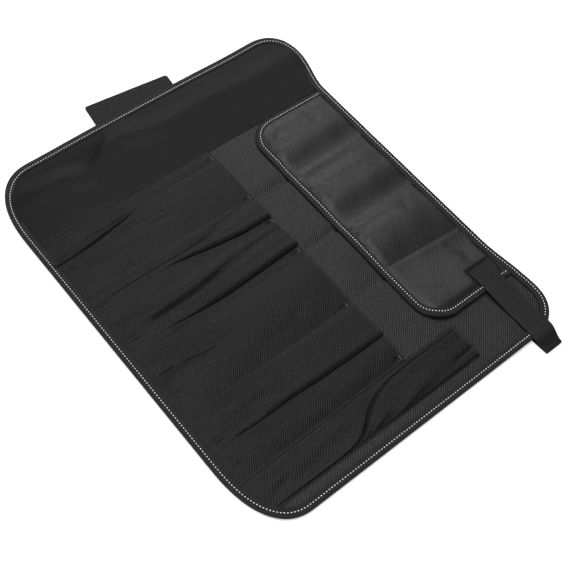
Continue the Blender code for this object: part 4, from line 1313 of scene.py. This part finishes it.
def seam_runs(piece, corners, step=1.2):
    """Points along a line through corners in millimetres, on the piece, split where its face steps."""
    corners = np.asarray(corners, float)
    lengths = np.linalg.norm(np.diff(corners, axis=0), axis=1)
    far = np.concatenate([[0], np.cumsum(lengths)])
    at = np.linspace(0, far[-1], max(4, int(far[-1] / step)))
    runs, run = [], []
    for x, y in zip(np.interp(at, far, corners[:, 0]) * MM, np.interp(at, far, corners[:, 1]) * MM):
        z = height_on(piece, x, y)
        if z is None or (run and abs(z - run[-1][2]) > SEAM_STEP):
            runs.append(run)
            run = []
        if z is not None:
            run.append((x, y, z + SEAM_STANDS))
    runs.append(run)
    return [np.array(run) for run in runs if len(run) > 3]


def join(name, pieces):
    """Joins pieces into one, under a new name."""
    select_only(*pieces)
    if len(pieces) > 1:
        bpy.ops.object.join()
    joined = bpy.context.object
    joined.name = name
    joined.data.name = name
    report(joined)
    return joined


def seams(name, lines):
    """One piece of dark stitches along all the lines: each a piece of cloth and its corners."""
    rows = []
    for piece, corners in lines:
        for run in seam_runs(piece, corners):
            rows.append(stitch_row(name, run, SEAM_PITCH, SEAM_STITCH, SEAM_THREAD))
    return join(name, rows)


# %% The seams
bpy.context.view_layer.update()
hem = HEM / MM - HEM_INSET
long_hem = LONG_HEM / MM - HEM_INSET
facing_seams = seams("facing_seams", [
    (facing_layer, [(-164.4, -206), (-164.4, 219)]),
    (pocket_cloth, [(-158.0, -206), (-158.0, 32)]),
])
# The seams beside and between the pockets: x at the top and at the foot
POCKET_SEAMS = (
    (-142.6, -142.6), (-72.8, -75.4), (-28.6, -31.8), (22.4, 24.0), (112.6, 114.8), (201.8, 206.4),
)
pocket_lines = [[(-157, hem), (204, hem)]] + [[(top, 34), (foot, -206)] for top, foot in POCKET_SEAMS]
pocket_seams = seams("pocket_seams", [(pocket_cloth, line) for line in pocket_lines])
long_pocket_seams = seams("long_pocket_seams", [
    (long_pocket_cloth, [(205.0, long_hem), (249, long_hem)]),
    (long_pocket_cloth, [(205.4, 103), (206.4, 36), (208.0, -50), (211.0, -206)]),
    (long_pocket_cloth, [(250.8, 103), (250.8, -206)]),
])
lining_seams = seams("lining_seams", [
    (lining_panel, [(-71.4, 34), (-71.4, 84)]),
    (lining_panel, [(21.2, 34), (21.2, 84)]),
    (lining_panel, [(109.6, 32), (109.6, 84)]),
    (lining_panel, [(113.2, 32), (113.2, 84)]),
    (lining_panel, [(254.8, 110), (254.8, -180)]),
    (lining_panel, [(200.2, 34), (200.2, 205)]),
    (lining_panel, [(203.2, 106), (203.2, 205)]),
])

# %% [markdown]
# ### Bartacks
# Each pocket's mouth ends in a bartack, a dense zigzag that keeps the seam from tearing. Each one is
# made from a zigzag curve with a round bevel, at the cloth's height, and turned into a mesh; all are joined.

# %% Bartacks
TACK_WIDTH = 6.0 * MM
TACK_HEIGHT = 2.6 * MM
TACK_TURNS = 10
TACK_THREAD = 0.34 * MM
# How high the thread stands above the cloth along a turn: share of the turn, height in millimetres
TACK_LIFTS = ((0.0, -0.1), (0.2, 0.46), (0.5, 0.62), (0.8, 0.46))


def bartack(name, middle):
    """A zigzag of thread round a place in millimetres on the pocket cloth."""
    places = []
    for turn in range(2 * TACK_TURNS + 1):
        side = 0.5 if turn % 2 else -0.5
        x = middle[0] * MM + (turn / (2 * TACK_TURNS) - 0.5) * TACK_WIDTH
        y = middle[1] * MM + side * TACK_HEIGHT
        places.append((x, y))
    level = [height_on(pocket_cloth, x, y) or 0 for x, y in places]
    top = float(np.median([z for z in level if z > 0]))
    points = []
    for (x, y), (next_x, next_y) in zip(places[:-1], places[1:]):
        for share, lift in TACK_LIFTS:
            points.append((x + (next_x - x) * share, y + (next_y - y) * share, top + lift * MM))
    path = path_curve(name, points, False)
    path.data.bevel_depth = TACK_THREAD
    path.data.bevel_resolution = 1
    path.data.use_fill_caps = True
    select_only(path)
    bpy.ops.object.convert(target="MESH")
    bpy.ops.object.shade_smooth()
    return bpy.context.object


tacks = [bartack(f"bartack_{number}", place) for number, place in enumerate(TACK_PLACES)]
bartacks = join("bartacks", tacks)

# %% [markdown]
# ## Stage, light and camera
# The photograph is a cut-out on white under soft light. The light comes mostly from behind and from
# the left, so cloth that leans that way shines and cloth that leans to the right stays dark.

# %% Floor and light
bpy.ops.object.select_all(action="DESELECT")
bpy.ops.mesh.primitive_plane_add(size=8, location=(0, 0, -0.2 * MM))
floor = bpy.context.object
floor.name = "floor"


def softbox(name, direction, distance, size, power):
    """A square area light that points at the middle of the roll."""
    data = bpy.data.lights.new(name, "AREA")
    data.shape = "RECTANGLE"
    data.size, data.size_y = size
    data.energy = power
    lamp = bpy.data.objects.new(name, data)
    bpy.context.scene.collection.objects.link(lamp)
    place = Vector(direction).normalized() * distance
    lamp.location = place
    lamp.rotation_mode = "QUATERNION"
    lamp.rotation_quaternion = place.to_track_quat("Z", "Y")
    return lamp


softbox("key_softbox", (-0.42, 0.40, 0.81), 6.0, (3.5, 3.2), 112)
softbox("side_softbox", (-0.74, 0.37, 0.56), 6.0, (3.4, 2.3), 92)
softbox("high_softbox", (-0.22, 0.12, 0.97), 6.0, (2.2, 2.8), 104)
softbox("near_softbox", (-0.30, -0.10, 0.95), 6.0, (1.4, 2.8), 66)
softbox("fill_softbox", (0.75, -0.70, 0.95), 5.0, (6.0, 6.0), 240)
world = bpy.data.worlds.new("pale_studio")
world.use_nodes = True
backdrop = world.node_tree.nodes["Background"]
backdrop.inputs["Color"].default_value = (1, 1, 1, 1)
backdrop.inputs["Strength"].default_value = 0.36
bpy.context.scene.world = world
bpy.context.scene.view_settings.view_transform = "Standard"

# %% [markdown]
# ## Materials
# Every finish is built from nodes on the cloth's own UV map, in metres, so the weave has its real
# scale. One function adds a node with its settings and links.

# %% Material helpers
def linear(code):
    """An sRGB hex colour as linear red, green, blue and alpha."""
    shares = [int(code[i:i + 2], 16) / 255 for i in (1, 3, 5)]
    return tuple(v / 12.92 if v <= 0.04045 else ((v + 0.055) / 1.055) ** 2.4 for v in shares) + (1.0,)


def node(tree, kind, inputs=(), **settings):
    """Adds a node of one kind with its settings. Inputs go by name or number: a value or a link."""
    made = tree.nodes.new(kind)
    for name, value in settings.items():
        setattr(made, name, value)
    for key, value in dict(inputs).items():
        if isinstance(value, bpy.types.NodeSocket):
            tree.links.new(value, made.inputs[key])
        else:
            made.inputs[key].default_value = value
    return made


def finish_of(name, colour, roughness, specular):
    """A new material: itself, its node tree and its shader, which has the same values all over."""
    made = bpy.data.materials.new(name)
    made.use_nodes = True
    shader = made.node_tree.nodes["Principled BSDF"]
    shader.inputs["Base Color"].default_value = linear(colour)
    shader.inputs["Roughness"].default_value = roughness
    shader.inputs["Specular IOR Level"].default_value = specular
    return made, made.node_tree, shader


def wear(piece, finish):
    """Gives the piece its only material."""
    piece.data.materials.clear()
    piece.data.materials.append(finish)


def cloth_place(tree):
    """The place on the flat cloth, in metres."""
    return node(tree, "ShaderNodeUVMap", uv_map="UVMap").outputs["UV"]


def math_of(tree, operation, *values):
    """One sum on values or links. MULTIPLY_ADD is the first times the second plus the third."""
    return node(tree, "ShaderNodeMath", dict(enumerate(values)), operation=operation).outputs[0]


def waves(tree, place, along, pitch, shift=0.0):
    """Even ridges from 0 to 1, their pitch in metres measured in the direction called along."""
    size = math.hypot(*along)
    turn = [2 * math.pi * part / (size * pitch) for part in along] + [0.0]
    phase = node(tree, "ShaderNodeVectorMath", {0: place, 1: turn}, operation="DOT_PRODUCT")
    moved = math_of(tree, "ADD", phase.outputs["Value"], shift)
    return math_of(tree, "MULTIPLY_ADD", math_of(tree, "SINE", moved), 0.5, 0.5)


def raise_face(tree, shader, height, depth):
    """Bumps the shader's face by a height from 0 to 1 times a depth in metres."""
    bump = node(tree, "ShaderNodeBump", {"Height": height, "Distance": depth, "Strength": 1.0})
    tree.links.new(bump.outputs["Normal"], shader.inputs["Normal"])


def paint_groove_shade(tree, shader, share, low, high):
    """Paints shade into the colour: low in the grooves, high on the raised tops, by a height share from 0 to
    1.
    """
    mix = node(tree, "ShaderNodeMix", {0: share, 6: linear(low), 7: linear(high)}, data_type="RGBA")
    tree.links.new(mix.outputs[2], shader.inputs["Base Color"])


def clouds(tree, place, size, low, high, detail=3.0):
    """Soft patches of a size in metres, between two values."""
    noise = node(tree, "ShaderNodeTexNoise", {"Vector": place, "Scale": 1 / size, "Detail": detail})
    spread = node(tree, "ShaderNodeMapRange", {0: noise.outputs["Fac"], 1: 0.3, 2: 0.7, 3: low, 4: high})
    return spread.outputs[0]


# %% [markdown]
# ### Woven cloth
# All the cloth is a black polyester weave with a coated back. Its face has fine slanting ribs that
# catch the light where the cloth lies flat to it and vanish where it turns away. The ribs could be
# modelled, but half a million of them would be no better than a bump, so they are a bump: one wave
# across the slant, broken by a finer wave along it. The real ribs are about 0.7 mm apart, too fine
# to show in a picture of the whole roll, so they are drawn 2.5 mm apart.

# %% Cloth finishes
RIB_PITCH = 2.5 * MM
BEAD_PITCH = 2.0 * MM
MOTTLE_SIZE = 7 * MM
# How deep a finer wave cuts into the ribs, and what it leaves of them everywhere
CUT_IN, LEFT_OVER = 0.35, 0.65
# The ribs wander by this much over this far, and are worn down to this share over that far
DRIFT, DRIFT_SIZE = 0.35 * MM, 9 * MM
WORN, WORN_SIZE = 0.6, 12 * MM


def woven_cloth(name, low, high, roughness, specular, depth, mottle=0.05):
    """A slanting weave with ribs of a depth in metres, shade painted into its grooves, duller by mottle in
    roughness in soft patches.
    """
    made, tree, shader = finish_of(name, high, roughness, specular)
    place = cloth_place(tree)
    drift = clouds(tree, place, DRIFT_SIZE, -DRIFT, DRIFT)
    bent = node(tree, "ShaderNodeVectorMath", {0: place, 1: drift}, operation="ADD").outputs[0]
    ribs = waves(tree, bent, (1.0, 1.0), RIB_PITCH)
    beads = waves(tree, bent, (1.0, -1.0), BEAD_PITCH)
    strength = clouds(tree, place, WORN_SIZE, WORN, 1.0)
    broken = math_of(tree, "MULTIPLY_ADD", beads, CUT_IN, LEFT_OVER)
    weave = math_of(tree, "MULTIPLY", ribs, broken)
    patchy = math_of(tree, "MULTIPLY", weave, strength)
    raise_face(tree, shader, patchy, depth)
    # Painted shade: the colour is dark in the grooves between the ribs and light on their tops
    paint_groove_shade(tree, shader, patchy, low, high)
    dull = clouds(tree, place, MOTTLE_SIZE, roughness - mottle / 2, roughness + mottle)
    tree.links.new(dull, shader.inputs["Roughness"])
    return made


# The panel's own face: the plainest of the cloths, lit flat, so its ribs show most. It is the same
# weave as the pockets and the facing, with a lighter colour that is painted light
lining_lit_weave = woven_cloth("black_oxford_weave", "#0c0c0d", "#262627", 0.27, 0.106, 0.21 * MM)
# The pockets' cloth: the same weave, pressed and a little shinier on its folds. Its darker colour is painted
# shade
pocket_shaded_weave = woven_cloth("black_oxford_weave_painted_shade", "#080809", "#1e1e1f", 0.26, 0.058, 0.18 * MM)
# The facing: the smoothest, with ribs that only show where it is creased. Its darkest colour is painted
# shade
facing_shaded_weave = woven_cloth("black_oxford_weave_smooth_painted_shade", "#0a0a0b", "#131314", 0.25, 0.046, 0.07 * MM)
# The flap: a brighter face than the rest, so its folds read as soft bands
satin = woven_cloth("black_satin_weave", "#0f0f10", "#1e1e1f", 0.25, 0.138, 0.09 * MM, 0.10)

# %% [markdown]
# ### Binding tape
# The edge is bound with a folded grosgrain tape, ribbed across its length.

# %% Tape finish
TAPE_RIB = 1.5 * MM
tape_finish, tree, shader = finish_of("black_grosgrain_tape", "#1d1d1e", 0.55, 0.13)
place = cloth_place(tree)
ribs = waves(tree, place, (1.0, 0.0), TAPE_RIB)
yarns = math_of(tree, "MULTIPLY_ADD", waves(tree, place, (0.0, 1.0), TAPE_RIB), 0.4, 0.6)
worn = clouds(tree, place, 3.5 * MM, 0.5, 1.0)
grain = math_of(tree, "MULTIPLY", math_of(tree, "MULTIPLY", ribs, yarns), worn)
raise_face(tree, shader, grain, 0.30 * MM)
# Painted shade: the tape's colour is dark between its ribs and light on their tops
paint_groove_shade(tree, shader, grain, "#0a0a0b", "#2a2a2b")

# %% [markdown]
# ### Webbing, hook tape and threads
# The strap is a coarse webbing whose ribs are already modelled, so its finish only adds the yarns.
# The tab is a knitted hook tape, a dull grain of tiny hooks. The threads are twisted.

# %% Webbing, hook tape and thread finishes
YARN_PITCH = 2.2 * MM
HOOK_PITCH = 2.6 * MM
# Over what length the ribs fade out before the loop, and what is left of them there
RIB_FADE, RIB_LEFT = 6 * MM, 0.25
webbing, tree, shader = finish_of("black_polypropylene_webbing", "#161617", 0.50, 0.13)
place = cloth_place(tree)
yarns = waves(tree, place, (0.0, 1.0), YARN_PITCH)
weft = math_of(tree, "MULTIPLY_ADD", yarns, CUT_IN, LEFT_OVER)
cords = waves(tree, place, (1.0, 0.0), CORD_PITCH, math.pi / 2)
# The ribs fade out where the strap turns into its smooth folded loop
along = node(tree, "ShaderNodeSeparateXYZ", {0: place}).outputs["X"]
fade = {0: along, 1: LOOP_START, 2: LOOP_START + RIB_FADE, 3: 1.0, 4: RIB_LEFT}
loop = node(tree, "ShaderNodeMapRange", fade).outputs[0]
faded = math_of(tree, "MULTIPLY", math_of(tree, "MULTIPLY", weft, cords), loop)
raise_face(tree, shader, faded, 0.30 * MM)
# Painted shade: the webbing's colour is dark between its cords and yarns and light on them
paint_groove_shade(tree, shader, faded, "#060607", "#242425")

hook_finish, tree, shader = finish_of("black_nylon_hook_tape", "#1c1c1e", 0.62, 0.12)
place = cloth_place(tree)
columns = waves(tree, place, (1.0, 0.0), HOOK_PITCH)
hooks = math_of(tree, "MULTIPLY", columns, waves(tree, place, (0.0, 1.0), HOOK_PITCH))
fuzz = clouds(tree, place, 3.0 * MM, 0.0, 1.0, 6.0)
loops = math_of(tree, "MULTIPLY_ADD", hooks, 0.4, fuzz)
raise_face(tree, shader, loops, 0.7 * MM)
# Partly painted shade, dark between the hooks and light on them, and partly a random tone from the fuzz
paint_groove_shade(tree, shader, loops, "#0a0a0b", "#232325")

white_thread, _, _ = finish_of("white_polyester_thread_twisted", "#ededea", 0.6, 0.4)
black_thread, _, _ = finish_of("black_polyester_thread_twisted", "#161617", 0.4, 0.5)
paper, _, _ = finish_of("white_paper_matt", "#f6f6f6", 0.9, 0.0)

# %% Each piece gets its finish
wear(lining_panel, lining_lit_weave)
wear(edge_tape, tape_finish)
wear(facing_layer, facing_shaded_weave)
wear(pocket_cloth, pocket_shaded_weave)
wear(long_pocket_cloth, pocket_shaded_weave)
wear(flap_cloth, satin)
wear(flap_tape, tape_finish)
wear(strap_webbing, webbing)
wear(tab_tape, hook_finish)
wear(edge_stitches, white_thread)
wear(flap_stitches, white_thread)
for piece in (facing_seams, pocket_seams, long_pocket_seams, lining_seams, bartacks):
    wear(piece, black_thread)
floor.data.materials.append(paper)

# %% [markdown]
# ## Bodies
# The roll has one body. Each piece rides on it and stands for its CAD solid.

REPLACED = (
    (lining_panel, "main_panel"),
    (edge_tape, "edge_binding"),
    (facing_layer, "wrap_facing"),
    (pocket_cloth, "pocket_bank"),
    (long_pocket_cloth, "long_pocket"),
    (flap_cloth, "flap"),
    (flap_tape, "flap_binding"),
    (strap_webbing, "strap"),
    (tab_tape, "closure_tab"),
)
for piece, solid in REPLACED:
    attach(piece, "root")
    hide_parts(solid)
for piece in (
    edge_stitches, flap_stitches, facing_seams, pocket_seams, long_pocket_seams, lining_seams, bartacks,
):
    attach(piece, "root")
